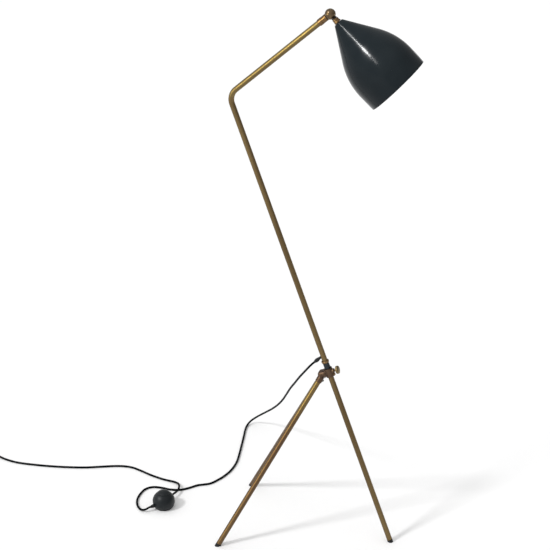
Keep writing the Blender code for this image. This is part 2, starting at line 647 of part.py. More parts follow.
def cords():
    cord("cord_to_switch", (EXIT_FRAME, 27.3, 33), LAMP_ROUTE, (GLAND_FRAMES["in"], 28, 37))
    cord("cord_to_coil", (GLAND_FRAMES["out"], 28, 37), PLUG_ROUTE, (None, 0, 0))
    plug_back = frame(PLUG, Vector((-1, 0, 0)))
    tail = [*smooth_line(TAIL_ROUTE, 9), along(plug_back, 62), along(plug_back, 52)]
    swept("cord_plug", tail, CORD_R, "flex")
    high, inner, outer = COIL_HIGH, COIL_IN, COIL_OUT
    place = Matrix.Translation(COIL * MM)
    turned(
        "cord_coil",
        [(inner + 1.5, high), (outer - 1.5, high), (outer, high - 1.5), (outer, 1.5), (outer - 1.5, 0),
         (inner + 1.5, 0), (inner, 1.5), (inner, high - 1.5)],
        place, "flex", 28, ring=True,
    )
    low_corner, high_corner = Vector((-3, -outer - 1.3, -1.3)), Vector((3, -inner + 1.8, high + 1.3))
    wall = Vector((-6, 1, 1))
    tie = block("coil_tie", low_corner, high_corner, place, "flex", bevel=0.8, segments=1)
    combine(tie, "DIFFERENCE", block("tie_inside", low_corner + wall, high_corner - wall, place))


def plug():
    """A flat two-pin plug, moulded on, lying on the floor."""
    back = frame(PLUG, Vector((-1, 0, 0)))  # Y across the plug, X up
    body = block("plug_body", (-6.8, -17.6, 0), (6.8, 17.6, 20), back, "rubber", bevel=3, segments=2)
    neck = block("plug_neck", (-5.8, -9, 12), (5.8, 9, 36), back, bevel=3.5, segments=2)
    combine(body, "UNION", neck)
    combine(body, "DIFFERENCE", rod("plug_cord_hole", 3.6, 30, 45, back))
    for i, way in enumerate((-1, 1)):
        at = shifted(back, y=way * 9.3)
        combine(body, "DIFFERENCE", rod(f"pin_hole_{i}", 2.3, -5, 6, at))
        rod(f"plug_pin_{i + 1}", 2.0, -19, 5.7, at, "steel", 14, chamfer=0.7)
    turned(
        "plug_relief",
        [(2.8, 30.4), (3.3, 30.4), (3.3, 37), (4.3, 37.4), (3.4, 54), (2.8, 54)],
        back, "rubber", 14, ring=True,
    )


def main():
    for old in list(bpy.data.objects):
        bpy.data.objects.remove(old)
    for collection in (parts, cutters):
        bpy.context.scene.collection.children.link(collection)
    hub_casting()
    legs()
    clamp()
    spigot()
    collar()
    pole_and_arm()
    ball_joint()
    neck()
    shade()
    lampholder()
    foot_switch()
    cords()
    plug()


main()
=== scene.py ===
"""Looks for the tripod floor lamp: fine turned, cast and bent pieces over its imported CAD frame.

Lengths are millimetres, which MM turns into metres. +Z is up and the shade points to +X. Each
piece is built in a frame of its own, with Z along its axis, and then placed.
"""

import math

import bmesh
import bpy
from mathutils import Matrix, Vector


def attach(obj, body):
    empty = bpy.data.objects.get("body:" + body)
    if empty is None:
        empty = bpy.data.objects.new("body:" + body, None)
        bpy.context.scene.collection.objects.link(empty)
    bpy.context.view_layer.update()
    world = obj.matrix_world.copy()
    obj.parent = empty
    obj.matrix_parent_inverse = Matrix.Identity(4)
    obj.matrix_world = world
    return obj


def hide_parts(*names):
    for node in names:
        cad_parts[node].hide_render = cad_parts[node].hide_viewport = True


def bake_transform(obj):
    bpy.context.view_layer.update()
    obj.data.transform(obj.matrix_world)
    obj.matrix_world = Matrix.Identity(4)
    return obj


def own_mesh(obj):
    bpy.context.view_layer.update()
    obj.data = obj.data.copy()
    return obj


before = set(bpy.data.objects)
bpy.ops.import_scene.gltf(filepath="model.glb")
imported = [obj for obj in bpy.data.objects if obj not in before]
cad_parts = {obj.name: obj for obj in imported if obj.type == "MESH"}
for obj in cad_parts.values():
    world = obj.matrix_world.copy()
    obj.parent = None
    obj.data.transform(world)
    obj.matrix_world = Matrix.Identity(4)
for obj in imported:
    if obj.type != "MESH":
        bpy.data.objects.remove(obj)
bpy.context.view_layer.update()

MM = 0.001
GAP = 0.3  # clearance between pieces that touch on the real lamp
UP, SIDE = Vector((0, 0, 1)), Vector((0, 1, 0))
TUBE_R, TUBE_WALL, LEG_BORE = 6.2, 0.8, 4.8
HUB = Vector((30.0, 0.0, 415.0))
POLE_LEAN, POLE_RISE = math.radians(19.9), 675.0
ARM_RISE, ARM_LENGTH, BEND_R = math.radians(41.3), 286.0, 30.0
SHADE_DIP = math.radians(43.4)
TILT_UP, TILT_DOWN = math.radians(10), math.radians(28)
REAR_FOOT, REAR_KNEE = Vector((-229.0, 130.0, -415.0)), Vector((-30.0, 13.0, -20.0))
SOCKET_LENGTH, SOCKET_DEPTH, LEG_TOP = 9.7, 13.3, 8.5
BALL_R, STEM_R = 11.25, 3.5
CLAMP_HEIGHT, LEG_SCREW_HEIGHT, EXIT_HEIGHT = 13.0, 4.2, 53.8
SWITCH, SWITCH_TURN, GLAND_SPLAY = Vector((-374.0, -17.0, 0.0)), 63.0, 13.0
SWITCH_R, SWITCH_MID, SWITCH_DOME, GLAND_HEIGHT = 26.8, 16.0, 25.6, 11.5
BUTTON_TOP, BUTTON_DOME, BUTTON_TRAVEL = 44.2, 22.4, 3.0
COIL, PLUG = Vector((-897.0, 45.0, 1.6)), Vector((-846.0, -31.0, 7.3))
PIN_OFFSET = 9.3  # of each of the plug's pins from its middle
CORD_R = 2.5
# The shade's side: a straight cone, then a round shoulder that ends level with the widest part.
SHADE_TOP, SHADE_RIM, SHADE_WALL = 23.0, 197.0, 0.9
SHADE_TOP_R, SHADE_WIDEST, SHOULDER_R, CONE_SLOPE = 10.9, 70.0, 141.0, math.radians(31)

POLE = Vector((-math.sin(POLE_LEAN), 0, math.cos(POLE_LEAN)))
ARM = Vector((math.cos(ARM_RISE), 0, math.sin(ARM_RISE)))
SHADE = Vector((math.cos(SHADE_DIP), 0, -math.sin(SHADE_DIP)))
CORNER = HUB + POLE * POLE_RISE
BALL = CORNER + ARM * ARM_LENGTH

# The flex's route, as in the CAD source: lamp to foot switch, and foot switch to coil.
LAMP_ROUTE = (
    (-22, 8, 427), (-38, 30, 401), (-60, 64, 364), (-83, 106, 322), (-107, 152, 278),
    (-130, 198, 232), (-153, 243, 187), (-178, 288, 144), (-205, 330, 104), (-231, 366, 70),
    (-255, 392, 42), (-274, 405, 22), (-288, 404, 9), (-293, 388, 3.6), (-291, 366, 2.7),
    (-286, 340, 2.6), (-278, 296, 2.6), (-270, 251, 2.6), (-265, 212, 2.6), (-267, 176, 2.6),
    (-275, 146, 2.6), (-286, 122, 2.6), (-298, 104, 2.6), (-312, 95, 2.6), (-326, 87, 2.6),
    (-341, 71, 2.6), (-359, 57, 2.6), (-382, 51, 2.6), (-406, 52, 2.6), (-427, 49, 2.6),
    (-441, 37, 2.6), (-446, 18, 2.6), (-446, -4, 2.6), (-441, -24, 2.6), (-431, -41, 2.8),
    (-419, -52, 4.2), (-408, -54, 8.0),
)
# From the foot switch to the coil, over the first stretch.
PLUG_ROUTE = (
    (-361, 37, 10.0), (-361, 50, 8.7), (-364, 63, 8.2), (-370, 74, 6.8), (-380, 81, 5.0),
    (-392, 85, 3.5), (-406, 87, 2.7), (-424, 90, 2.6), (-454, 98, 2.6), (-484, 109, 2.6),
    (-507, 115.5, 2.6), (-530, 115.5, 2.6), (-555, 109, 2.6), (-585, 97, 2.6), (-620, 83, 2.6),
    (-660, 72, 2.6), (-705, 63, 2.6), (-750, 57, 2.6), (-795, 54, 2.6), (-830, 59, 2.8),
    (-852, 66, 3.4), (-869, 71.2, 4.2),
)
# Its short tail, from the coil to the plug.
TAIL_ROUTE = (
    (-935.5, 36, 8.6), (-936.5, 21, 5.2), (-934.5, 6, 3.4), (-928.5, -9, 3.4), (-918, -21, 5.2),
)


# ---------------------------------------------------------------- frames

def frame(origin, axis):
    """A frame with Z along axis and Y as near to the lamp's +Y as that allows."""
    z = axis.normalized()
    x = SIDE.cross(z).normalized()
    return Matrix.Translation(origin * MM) @ Matrix((x, z.cross(x), z)).transposed().to_4x4()


def shifted(base, x=0.0, y=0.0, z=0.0):
    return base @ Matrix.Translation(Vector((x, y, z)) * MM)


def turned_by(base, degrees, axis):
    return base @ Matrix.Rotation(math.radians(degrees), 4, axis)


LEVEL = Matrix.Identity(4)
POLE_FRAME, ARM_FRAME, SHADE_FRAME = frame(HUB, POLE), frame(BALL, ARM), frame(BALL, SHADE)
BALL_FRAME = Matrix.Translation(BALL * MM)
SLOT_FRAME = turned_by(BALL_FRAME, -90, "X")
CLAMP_FRAME = turned_by(shifted(POLE_FRAME, z=CLAMP_HEIGHT), 90, "Y")
LEG_SCREW_FRAME = turned_by(shifted(POLE_FRAME, z=LEG_SCREW_HEIGHT), 90, "Y")
EXIT_FRAME = turned_by(shifted(POLE_FRAME, z=EXIT_HEIGHT), -116.2, "Y")
SWITCH_FRAME = turned_by(Matrix.Translation(SWITCH * MM), SWITCH_TURN, "Z")
GLAND_OUT = turned_by(turned_by(shifted(SWITCH_FRAME, z=GLAND_HEIGHT), GLAND_SPLAY, "Z"), 90, "Y")
GLAND_IN = turned_by(turned_by(shifted(SWITCH_FRAME, z=GLAND_HEIGHT), 180 - GLAND_SPLAY, "Z"), 90, "Y")
PLUG_BACK = frame(PLUG, Vector((-1, 0, 0)))
REAR_AXIS = REAR_KNEE - REAR_FOOT
SOCKET_MOUTH = REAR_AXIS.length + SOCKET_LENGTH
LEG_FRAMES = {"front": frame(HUB - POLE * (HUB.z / POLE.z), POLE)}
LEG_LENGTHS = {"front": HUB.z / POLE.z + LEG_TOP}
for way, side_name in ((1, "left"), (-1, "right")):
    mirror = Vector((1, way, 1))
    LEG_FRAMES[side_name] = frame(HUB + REAR_FOOT * mirror, REAR_AXIS * mirror)
    LEG_LENGTHS[side_name] = SOCKET_MOUTH + SOCKET_DEPTH - GAP


# ---------------------------------------------------------------- camera

camera = bpy.data.objects.new("camera", bpy.data.cameras.new("camera"))
bpy.context.scene.collection.objects.link(camera)
camera.location = (0.728, -2.7634, 2.0245)
camera.rotation_euler = (math.radians(64.485), 0, math.radians(16.671))
camera.data.lens = 95.83
camera.data.sensor_width = 36
bpy.context.scene.camera = camera


# ---------------------------------------------------------------- shader nodes

def shader(name, colour=(0.5, 0.5, 0.5), roughness=0.5, metallic=0.0, **sockets):
    """A material with its Principled shader set; sockets go by name, with _ for a space."""
    made = bpy.data.materials.new(name)
    made.use_nodes = True
    surface = made.node_tree.nodes["Principled BSDF"]
    surface.inputs["Base Color"].default_value = (*colour, 1)
    surface.inputs["Roughness"].default_value = roughness
    surface.inputs["Metallic"].default_value = metallic
    for socket, value in sockets.items():
        surface.inputs[socket.replace("_", " ")].default_value = value
    return made, surface


def add(made, kind, **settings):
    """A new node; a setting that is a node's output is linked, any other is a value or a property."""
    node = made.node_tree.nodes.new("ShaderNode" + kind)
    for key, value in settings.items():
        name = key.replace("_", " ")
        if hasattr(node, key):
            setattr(node, key, value)
        elif isinstance(value, bpy.types.NodeSocket):
            made.node_tree.links.new(value, node.inputs[name])
        else:
            node.inputs[name].default_value = value
    return node


def link(made, output, socket):
    made.node_tree.links.new(output, socket)


def place_of(made, stretch=(1, 1, 1), tilt=0.0):
    """The piece's own coordinates, turned back by tilt about Y and scaled."""
    where = add(made, "TexCoord").outputs["Object"]
    if tilt:
        where = add(made, "Mapping", Vector=where, Rotation=(0, -tilt, 0)).outputs[0]
    return add(made, "Mapping", Vector=where, Scale=stretch).outputs[0]


def noise(made, where, scale, detail=3.0, rough=0.55, distortion=0.0):
    made_noise = add(made, "TexNoise", Vector=where, Scale=scale, Detail=detail, Roughness=rough,
                     Distortion=distortion)
    return made_noise.outputs["Fac"]


def ramp(made, factor, *stops):
    """A colour ramp through stops of (position, colour)."""
    node = add(made, "ValToRGB", Fac=factor)
    elements = node.color_ramp.elements
    while len(elements) < len(stops):
        elements.new(0.5)
    for element, (position, colour) in zip(elements, stops):
        element.position = position
        element.color = (*colour, 1) if len(colour) == 3 else colour
    return node.outputs["Color"]


def span(made, factor, low, high, to_low, to_high):
    """The factor's stretch from low to high, mapped to another stretch."""
    return add(made, "MapRange", Value=factor, From_Min=low, From_Max=high, To_Min=to_low,
               To_Max=to_high).outputs[0]


def blended(made, factor, one, two):
    """One colour at factor 0, the other at 1."""
    node = add(made, "Mix", data_type="RGBA")
    for value, socket in ((factor, node.inputs[0]), (one, node.inputs[6]), (two, node.inputs[7])):
        if isinstance(value, bpy.types.NodeSocket):
            link(made, value, socket)
        else:
            socket.default_value = value if isinstance(value, float) else (*value, 1)
    return node.outputs[2]


def bump(made, *layers):
    """Stacked bumps, each (height, strength, depth in millimetres)."""
    normal = None
    for height, strength, depth in layers:
        node = add(made, "Bump", Height=height, Strength=strength, Distance=depth * MM)
        if normal:
            link(made, normal, node.inputs["Normal"])
        normal = node.outputs[0]
    return normal


# ---------------------------------------------------------------- materials

SHADE_TILT = math.pi / 2 + SHADE_DIP


def brass(name, light, dark, tarnish, rough=(0.28, 0.48), tilt=0.0, drawn=True, grain=0.0,
          darkened_below=0.0):
    """Old brass: two tones in soft clouds, brown tarnish spots, and drawn, turned or cast marks.

    A piece given a height in metres this way is darker the further it is below that height.
    """
    made, surface = shader(name, light, rough[0], 1.0)
    even = place_of(made, tilt=tilt)
    lengthways = place_of(made, (1, 1, 0.07), tilt)
    clouds = noise(made, lengthways, 60, 4, 0.6)
    tone = ramp(made, clouds, (0.36, dark), (0.62, light))
    spots = span(made, noise(made, even, 420, 5, 0.7), 0.56, 0.70, 0, 1)
    patches = span(made, noise(made, lengthways, 18, 3, 0.6, 0.4), 0.48, 0.68, 0, 0.75)
    tone = blended(made, patches, tone, tarnish)
    tone = blended(made, span(made, spots, 0, 1, 0, 0.65), tone, tuple(c * 0.45 for c in tarnish))
    # Darker towards the bottom, below the given height.
    if darkened_below:
        height = add(made, "SeparateXYZ", Vector=even).outputs["Z"]
        tone = blended(made, span(made, height, darkened_below - 0.1, darkened_below, 0.55, 0), tone,
                       tuple(c * 0.8 for c in tarnish))
    link(made, tone, surface.inputs["Base Color"])
    marks = place_of(made, (1, 1, 0.012) if drawn else (0.03, 0.03, 1), tilt)
    lines = noise(made, marks, 2600 if drawn else 3200, 2, 0.6)
    wear = add(made, "Math", operation="ADD", use_clamp=True)
    link(made, span(made, lines, 0.3, 0.7, rough[0], rough[1]), wear.inputs[0])
    link(made, span(made, spots, 0, 1, 0, 0.18), wear.inputs[1])
    link(made, wear.outputs[0], surface.inputs["Roughness"])
    layers = [(lines, 0.25, 0.03), (noise(made, even, 260, 3, 0.6), 0.25, 0.06)]
    if grain:
        layers.append((noise(made, even, 900, 4, 0.7), grain, 0.25))
    link(made, bump(made, *layers), surface.inputs["Normal"])
    return made


def enamel():
    """Thick dark enamel over spun metal: a green-black depth, orange peel and fine dust."""
    made, surface = shader("shade_enamel", (0.006, 0.009, 0.010), 0.16, 0.0, IOR=1.22)
    even = place_of(made, tilt=SHADE_TILT)
    soft = noise(made, even, 14, 3, 0.5)
    tone = ramp(made, soft, (0.3, (0.0036, 0.0060, 0.0076)), (0.7, (0.0068, 0.0096, 0.0113)))
    dust = span(made, noise(made, even, 900, 3, 0.7), 0.66, 0.78, 0, 0.03)
    link(made, blended(made, dust, tone, (0.10, 0.11, 0.11)), surface.inputs["Base Color"])
    link(made, span(made, noise(made, even, 40, 4, 0.6), 0.3, 0.75, 0.12, 0.24),
         surface.inputs["Roughness"])
    peel = noise(made, even, 130, 2, 0.5)
    spun = noise(made, place_of(made, (0.05, 0.05, 1), SHADE_TILT), 240, 2, 0.5)
    link(made, bump(made, (peel, 0.5, 0.13), (spun, 0.18, 0.10)), surface.inputs["Normal"])
    return made


def white_enamel():
    made, surface = shader("shade_inside", (0.78, 0.76, 0.70), 0.3, 0.0, Coat_Weight=0.2)
    even = place_of(made)
    tone = ramp(made, noise(made, even, 22, 4, 0.6), (0.3, (0.70, 0.67, 0.59)),
                (0.7, (0.80, 0.78, 0.72)))
    link(made, tone, surface.inputs["Base Color"])
    link(made, span(made, noise(made, even, 60, 4, 0.6), 0.3, 0.7, 0.24, 0.42),
         surface.inputs["Roughness"])
    link(made, bump(made, (noise(made, even, 150, 2, 0.5), 0.3, 0.08)), surface.inputs["Normal"])
    return made


def steel(name, colour, rough):
    made, surface = shader(name, colour, rough, 1.0)
    even = place_of(made)
    dark = tuple(c * 0.7 for c in colour)
    tone = ramp(made, noise(made, even, 300, 4, 0.65), (0.35, dark), (0.65, colour))
    link(made, tone, surface.inputs["Base Color"])
    rings = noise(made, place_of(made, (0.05, 0.05, 1)), 2800, 2, 0.6)
    link(made, span(made, rings, 0.3, 0.7, rough * 0.75, rough * 1.35), surface.inputs["Roughness"])
    link(made, bump(made, (rings, 0.25, 0.03)), surface.inputs["Normal"])
    return made


def plastic(name, dark, light, rough, scale=45.0, pits=0.2, ior=1.5):
    """Old moulded plastic or rubber: faint clouds, a dull bloom where it is handled, fine pits."""
    made, surface = shader(name, dark, rough, 0.0, IOR=ior)
    even = place_of(made)
    clouds = noise(made, even, scale, 5, 0.6, 0.6)
    tone = ramp(made, clouds, (0.35, dark), (0.70, light))
    link(made, tone, surface.inputs["Base Color"])
    link(made, span(made, noise(made, even, scale * 2.2, 4, 0.65), 0.3, 0.7, rough * 0.8, rough * 1.3),
         surface.inputs["Roughness"])
    link(made, bump(made, (noise(made, even, 1500, 3, 0.6), pits, 0.05),
                    (noise(made, even, 160, 2, 0.5), pits * 0.7, 0.10)), surface.inputs["Normal"])
    return made


def flex_sheath():
    """The flex's smooth sheath, a little scuffed where it drags on the floor."""
    made, surface = shader("flex_sheath", (0.004, 0.005, 0.006), 0.6, IOR=1.1)
    even = place_of(made)
    scuffs = span(made, noise(made, even, 240, 4, 0.7), 0.55, 0.75, 0, 1)
    worn = span(made, scuffs, 0, 1, 0, 0.5)
    tone = blended(made, worn, (0.003, 0.004, 0.005), (0.010, 0.011, 0.012))
    link(made, tone, surface.inputs["Base Color"])
    link(made, span(made, scuffs, 0, 1, 0.50, 0.75), surface.inputs["Roughness"])
    link(made, bump(made, (noise(made, even, 420, 3, 0.6), 0.25, 0.08)), surface.inputs["Normal"])
    return made


def glass_like(name, colour, rough, under=0.0):
    """Glazed ceramic or opal glass, which light enters as far as under says."""
    made, surface = shader(name, colour, rough, 0.0, Subsurface_Weight=under, Coat_Weight=0.3)
    even = place_of(made)
    warm = tuple(c * f for c, f in zip(colour, (1, 0.97, 0.92)))
    link(made, ramp(made, noise(made, even, 60, 3, 0.5), (0.3, warm), (0.7, colour)),
         surface.inputs["Base Color"])
    link(made, span(made, noise(made, even, 120, 3, 0.6), 0.3, 0.7, rough * 0.8, rough * 1.2),
         surface.inputs["Roughness"])
    return made


# Light, dark and tarnished brass, as on the pole and the front leg.
TUBE_TONES = ((0.188, 0.131, 0.059), (0.129, 0.089, 0.042), (0.104, 0.060, 0.032))
LOOKS = {
    "brass_tube": brass("brass_tube", *TUBE_TONES),
    "brass_pole": brass("brass_pole", *TUBE_TONES, tilt=-POLE_LEAN),
    # The arm: the pole's brass in lighter tones, painted light for the light its upper side catches.
    "brass_arm_painted_light": brass("brass_arm_painted_light", (0.245, 0.185, 0.075), (0.165, 0.122, 0.052),
                       (0.12, 0.080, 0.038), tilt=math.pi / 2 - ARM_RISE),
    "brass_rear": brass("brass_rear", (0.195, 0.138, 0.054), (0.125, 0.084, 0.040),
                        (0.115, 0.060, 0.040), darkened_below=0.40),
    # The ball: turned brass in darker tones, painted shade for its dark lower side.
    "brass_ball_painted_shade": brass("brass_ball_painted_shade", (0.175, 0.124, 0.070), (0.110, 0.076, 0.046),
                        (0.065, 0.041, 0.028), (0.18, 0.32), drawn=False),
    "brass_turned": brass("brass_turned", (0.205, 0.128, 0.062), (0.110, 0.066, 0.035),
                          (0.068, 0.038, 0.023), (0.20, 0.36), drawn=False),
    "brass_knob": brass("brass_knob", (0.20, 0.150, 0.075), (0.12, 0.088, 0.047),
                        (0.075, 0.050, 0.032), (0.24, 0.40), drawn=False),
    "brass_cast": brass("brass_cast", (0.125, 0.082, 0.053), (0.078, 0.049, 0.036),
                        (0.047, 0.028, 0.025), (0.34, 0.50), drawn=False, grain=0.45),
    "steel": steel("steel", (0.42, 0.41, 0.39), 0.32),
    "black_oxide": steel("black_oxide", (0.045, 0.052, 0.058), 0.36),
    "shade_enamel": enamel(),
    "shade_inside": white_enamel(),
    "bakelite": plastic("bakelite", (0.0035, 0.0058, 0.0075), (0.0075, 0.0108, 0.0128), 0.36,
                        ior=1.34),
    "rubber": plastic("rubber", (0.005, 0.006, 0.007), (0.012, 0.013, 0.014), 0.55, 80, 0.35,
                      1.35),
    "flex": flex_sheath(),
    "ceramic": glass_like("ceramic", (0.74, 0.71, 0.64), 0.3),
    "opal_glass": glass_like("opal_glass", (0.92, 0.91, 0.87), 0.18, under=0.15),
}


# ---------------------------------------------------------------- modelling tools

def mesh_of(bm, name):
    mesh = bpy.data.meshes.new(name)
    bmesh.ops.recalc_face_normals(bm, faces=bm.faces)
    bm.to_mesh(mesh)
    bm.free()
    return mesh


def helper(name, mesh, place):
    """An object that is only an ingredient of another."""
    made = bpy.data.objects.new(name, mesh)
    made.matrix_world = place
    bpy.context.scene.collection.objects.link(made)
    return made


def filleted(points, closed):
    """The outline (radius, height[, fillet]) with each corner that has a fillet rounded off."""
    result, fineness = [], 5
    count = len(points)
    for i, point in enumerate(points):
        here = Vector(point[:2])
        fillet = point[2] if len(point) > 2 else 0
        if not fillet or (not closed and i in (0, count - 1)):
            result.append(here)
            continue
        back, on = Vector(points[i - 1][:2]) - here, Vector(points[(i + 1) % count][:2]) - here
        cut = min(fillet, back.length * 0.49, on.length * 0.49)
        a, b = here + back.normalized() * cut, here + on.normalized() * cut
        for k in range(fineness + 1):
            t = k / fineness
            result.append(a * (1 - t) ** 2 + here * 2 * t * (1 - t) + b * t * t)
    return result


def arc(across, height, radius, start, end, count):
    """Points of an outline on a circle about (across, height), between two angles in degrees."""
    angles = [math.radians(start + (end - start) * i / count) for i in range(count + 1)]
    return [(across + radius * math.cos(a), height + radius * math.sin(a)) for a in angles]


def lathe(name, outline, steps=64, ring=False):
    """A turned mesh from an outline (radius, height[, fillet]); ring closes it off the axis."""
    points = filleted(outline, ring)
    bm = bmesh.new()
    rings = []
    for point in points:
        if point.x < 1e-4:
            rings.append([bm.verts.new((0, 0, point.y * MM))])
            continue
        turns = [2 * math.pi * i / steps for i in range(steps)]
        rings.append([
            bm.verts.new((point.x * math.cos(a) * MM, point.x * math.sin(a) * MM, point.y * MM))
            for a in turns
        ])
    for one, two in zip(rings, rings[1:] + rings[:1] if ring else rings[1:]):
        for i in range(steps):
            k = (i + 1) % steps
            corners = [one[i % len(one)], one[k % len(one)], two[k % len(two)], two[i % len(two)]]
            corners = list(dict.fromkeys(corners))
            if len(corners) > 2:
                bm.faces.new(corners)
    return mesh_of(bm, name)


def threaded(name, radius, depth, pitch, low, high):
    """A closed screw thread along Z, with a smooth crest and root."""
    bm = bmesh.new()
    steps, rows_per_turn = 40, 6
    rows = int((high - low) / pitch * rows_per_turn)
    rings = []
    for j in range(rows + 1):
        z = low + (high - low) * j / rows
        fade = min(1, (z - low) / pitch, (high - z) / pitch)
        row = []
        for i in range(steps):
            a = 2 * math.pi * i / steps
            wave = 0.5 - 0.5 * math.cos(2 * math.pi * (z / pitch) - a)
            r = radius - depth * (wave * fade + (1 - fade))
            row.append(bm.verts.new((r * math.cos(a) * MM, r * math.sin(a) * MM, z * MM)))
        rings.append(row)
    for one, two in zip(rings, rings[1:]):
        for i in range(steps):
            k = (i + 1) % steps
            bm.faces.new((one[i], one[k], two[k], two[i]))
    bm.faces.new(rings[0])
    bm.faces.new(rings[-1])
    return mesh_of(bm, name)


def box_mesh(name, low, high, round_by=0.0, segments=5):
    size, middle = Vector(high) - Vector(low), (Vector(high) + Vector(low)) / 2
    bm = bmesh.new()
    bmesh.ops.create_cube(bm, size=1)
    bmesh.ops.scale(bm, vec=size * MM, verts=bm.verts)
    bmesh.ops.translate(bm, vec=middle * MM, verts=bm.verts)
    if round_by:
        bmesh.ops.bevel(bm, geom=bm.edges, offset=round_by * MM, segments=segments, profile=0.5,
                        affect="EDGES", clamp_overlap=True)
    return mesh_of(bm, name)


def ball_mesh(name, radius):
    bm = bmesh.new()
    bmesh.ops.create_uvsphere(bm, u_segments=64, v_segments=40, radius=radius * MM)
    return mesh_of(bm, name)


def tube_mesh(name, points, radius, sides=16, capped=True):
    """A round tube through the points, in millimetres, with its rings square to the line."""
    bm = bmesh.new()
    line = [Vector(p) for p in points]
    side = UP.cross(line[1] - line[0])
    if side.length < 1e-3:
        side = Vector((1, 0, 0))
    rings = []
    for i, point in enumerate(line):
        ahead = (line[min(i + 1, len(line) - 1)] - line[max(i - 1, 0)]).normalized()
        side = (side - ahead * side.dot(ahead)).normalized()
        up = ahead.cross(side)
        turns = [2 * math.pi * k / sides for k in range(sides)]
        rings.append([
            bm.verts.new((point + (side * math.cos(a) + up * math.sin(a)) * radius) * MM)
            for a in turns
        ])
    for one, two in zip(rings, rings[1:]):
        for i in range(sides):
            k = (i + 1) % sides
            bm.faces.new((one[i], one[k], two[k], two[i]))
    if capped:
        bm.faces.new(rings[0])
        bm.faces.new(rings[-1])
    return mesh_of(bm, name)


def between(a, b, c, d, t):
    """A point from b to c on the Catmull-Rom curve through a, b, c and d."""
    square, cube = 2 * a - 5 * b + 4 * c - d, 3 * b - a - 3 * c + d
    return 0.5 * (2 * b + (c - a) * t + square * t**2 + cube * t**3)


def smooth_line(points, spacing):
    """Points evenly spaced on one smooth curve through the given points."""
    pieces = 24  # short straight pieces from each point to the next, to measure along
    line = [Vector(p) for p in points]
    line = [line[0] * 2 - line[1], *line, line[-1] * 2 - line[-2]]
    fine = [
        between(a, b, c, d, i / pieces)
        for a, b, c, d in zip(line, line[1:], line[2:], line[3:])
        for i in range(pieces)
    ]
    fine.append(line[-2])
    lengths = [0.0]
    for a, b in zip(fine, fine[1:]):
        lengths.append(lengths[-1] + (b - a).length)
    count = max(2, round(lengths[-1] / spacing))
    result, at = [], 0
    for i in range(count + 1):
        wanted = lengths[-1] * i / count
        while at < len(fine) - 2 and lengths[at + 1] < wanted:
            at += 1
        share = (wanted - lengths[at]) / (lengths[at + 1] - lengths[at])
        result.append(fine[at].lerp(fine[at + 1], min(share, 1)))
    return result


def along(place, z):
    """The point at z on a frame's axis."""
    return (place @ Matrix.Translation((0, 0, z * MM))).translation / MM


def with_modifiers(obj):
    """The object's mesh with its modifiers applied."""
    mesh = bpy.data.meshes.new_from_object(
        obj.evaluated_get(bpy.context.evaluated_depsgraph_get()))
    obj.modifiers.clear()
    return mesh


def combined(name, place, mesh, *steps):
    """mesh with steps of (operation, its mesh, its place) applied by exact Booleans."""
    base = helper(name + "_base", mesh, place)
    others = []
    for i, (operation, other, where) in enumerate(steps):
        tool = helper(f"{name}_tool_{i}", other, where)
        step = base.modifiers.new("step", "BOOLEAN")
        step.operation, step.object, step.solver = operation, tool, "EXACT"
        others.append(tool)
    bpy.context.view_layer.update()
    result = with_modifiers(base)
    result.name = name
    for used in (base, *others):
        bpy.data.objects.remove(used)
    return result


def shade_smooth(mesh, angle=32):
    mesh.shade_smooth()
    mesh.set_sharp_from_angle(angle=math.radians(angle))


def levelled(mesh, place):
    """Turns the mesh instead of the object, so that its box is no larger than it looks."""
    mesh.transform(place.to_3x3().to_4x4())
    return Matrix.Translation(place.translation)


def piece(name, mesh, place, body, look, *nodes, angle=32, slot=None):
    """A finished piece on a CAD body, if one is named, which stands for the CAD nodes named."""
    made = helper(name, mesh, place)
    mesh.materials.clear()
    mesh.materials.append(LOOKS[look])
    shade_smooth(mesh, angle)
    if body:
        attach(made, body)
    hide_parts(*nodes)
    return made


def turned(name, outline, place, body, look, *nodes, steps=64, ring=False):
    return piece(name, lathe(name, outline, steps, ring), place, body, look, *nodes)


def rod(radius, low, high, steps=40):
    return lathe("rod", [(0, high), (radius, high), (radius, low), (0, low)], steps)


# ---------------------------------------------------------------- flex

def relief_end(place, near, far):
    """The flex's straight stretch where it leaves a relief or gland."""
    return [along(place, near), along(place, (near + far) / 2), along(place, far)]


def coil_line():
    """Two layers of turns in a flat coil: inwards below, a climb, then outwards on top."""
    inner, outer, low, high, start, per_turn = 22.3, 32.8, 4.2, 9.4, 75, 30
    stretches = (  # turns, and radius and height at each end
        (2.0, outer, inner, low, low),
        (0.3, inner, inner, low, high),
        (1.97, inner, outer, high, high),
    )
    line, turned_so_far = [], 0.0
    for turns, first_r, last_r, first_z, last_z in stretches:
        count = round(turns * per_turn)
        for i in range(count):
            t = i / count
            a = math.radians(start + 360 * (turned_so_far + turns * t))
            r = first_r + (last_r - first_r) * t
            z = first_z + (last_z - first_z) * t * t * (3 - 2 * t)
            line.append((COIL.x + r * math.cos(a), COIL.y + r * math.sin(a), z))
        turned_so_far += turns
    return line


def flex(name, body, route, *nodes):
    line = smooth_line(route, 3)
    length = sum((b - a).length for a, b in zip(line, line[1:])) * MM
    made = piece(name, tube_mesh(name, line, CORD_R), LEVEL, body, "flex", *nodes)
    return made, {"length": round(length, 3), "diameter": 2 * CORD_R * MM, "stiffness": "medium",
                  "path": [tuple(p * MM) for p in line]}


flex_in, facts_in = flex(
    "flex_to_switch", None,
    [*relief_end(EXIT_FRAME, 24.5, 36), *LAMP_ROUTE, *relief_end(GLAND_IN, 40, 28)],
    "cord_to_switch",
)
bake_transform(flex_in)
flex_out, facts_out = flex(
    "flex_to_plug", "tripod",
    [*relief_end(GLAND_OUT, 28, 40), *PLUG_ROUTE, *coil_line(), *TAIL_ROUTE,
     along(PLUG_BACK, 62), along(PLUG_BACK, 52), along(PLUG_BACK, 38)],
    "cord_to_coil", "cord_coil", "cord_plug",
)


# ---------------------------------------------------------------- tripod

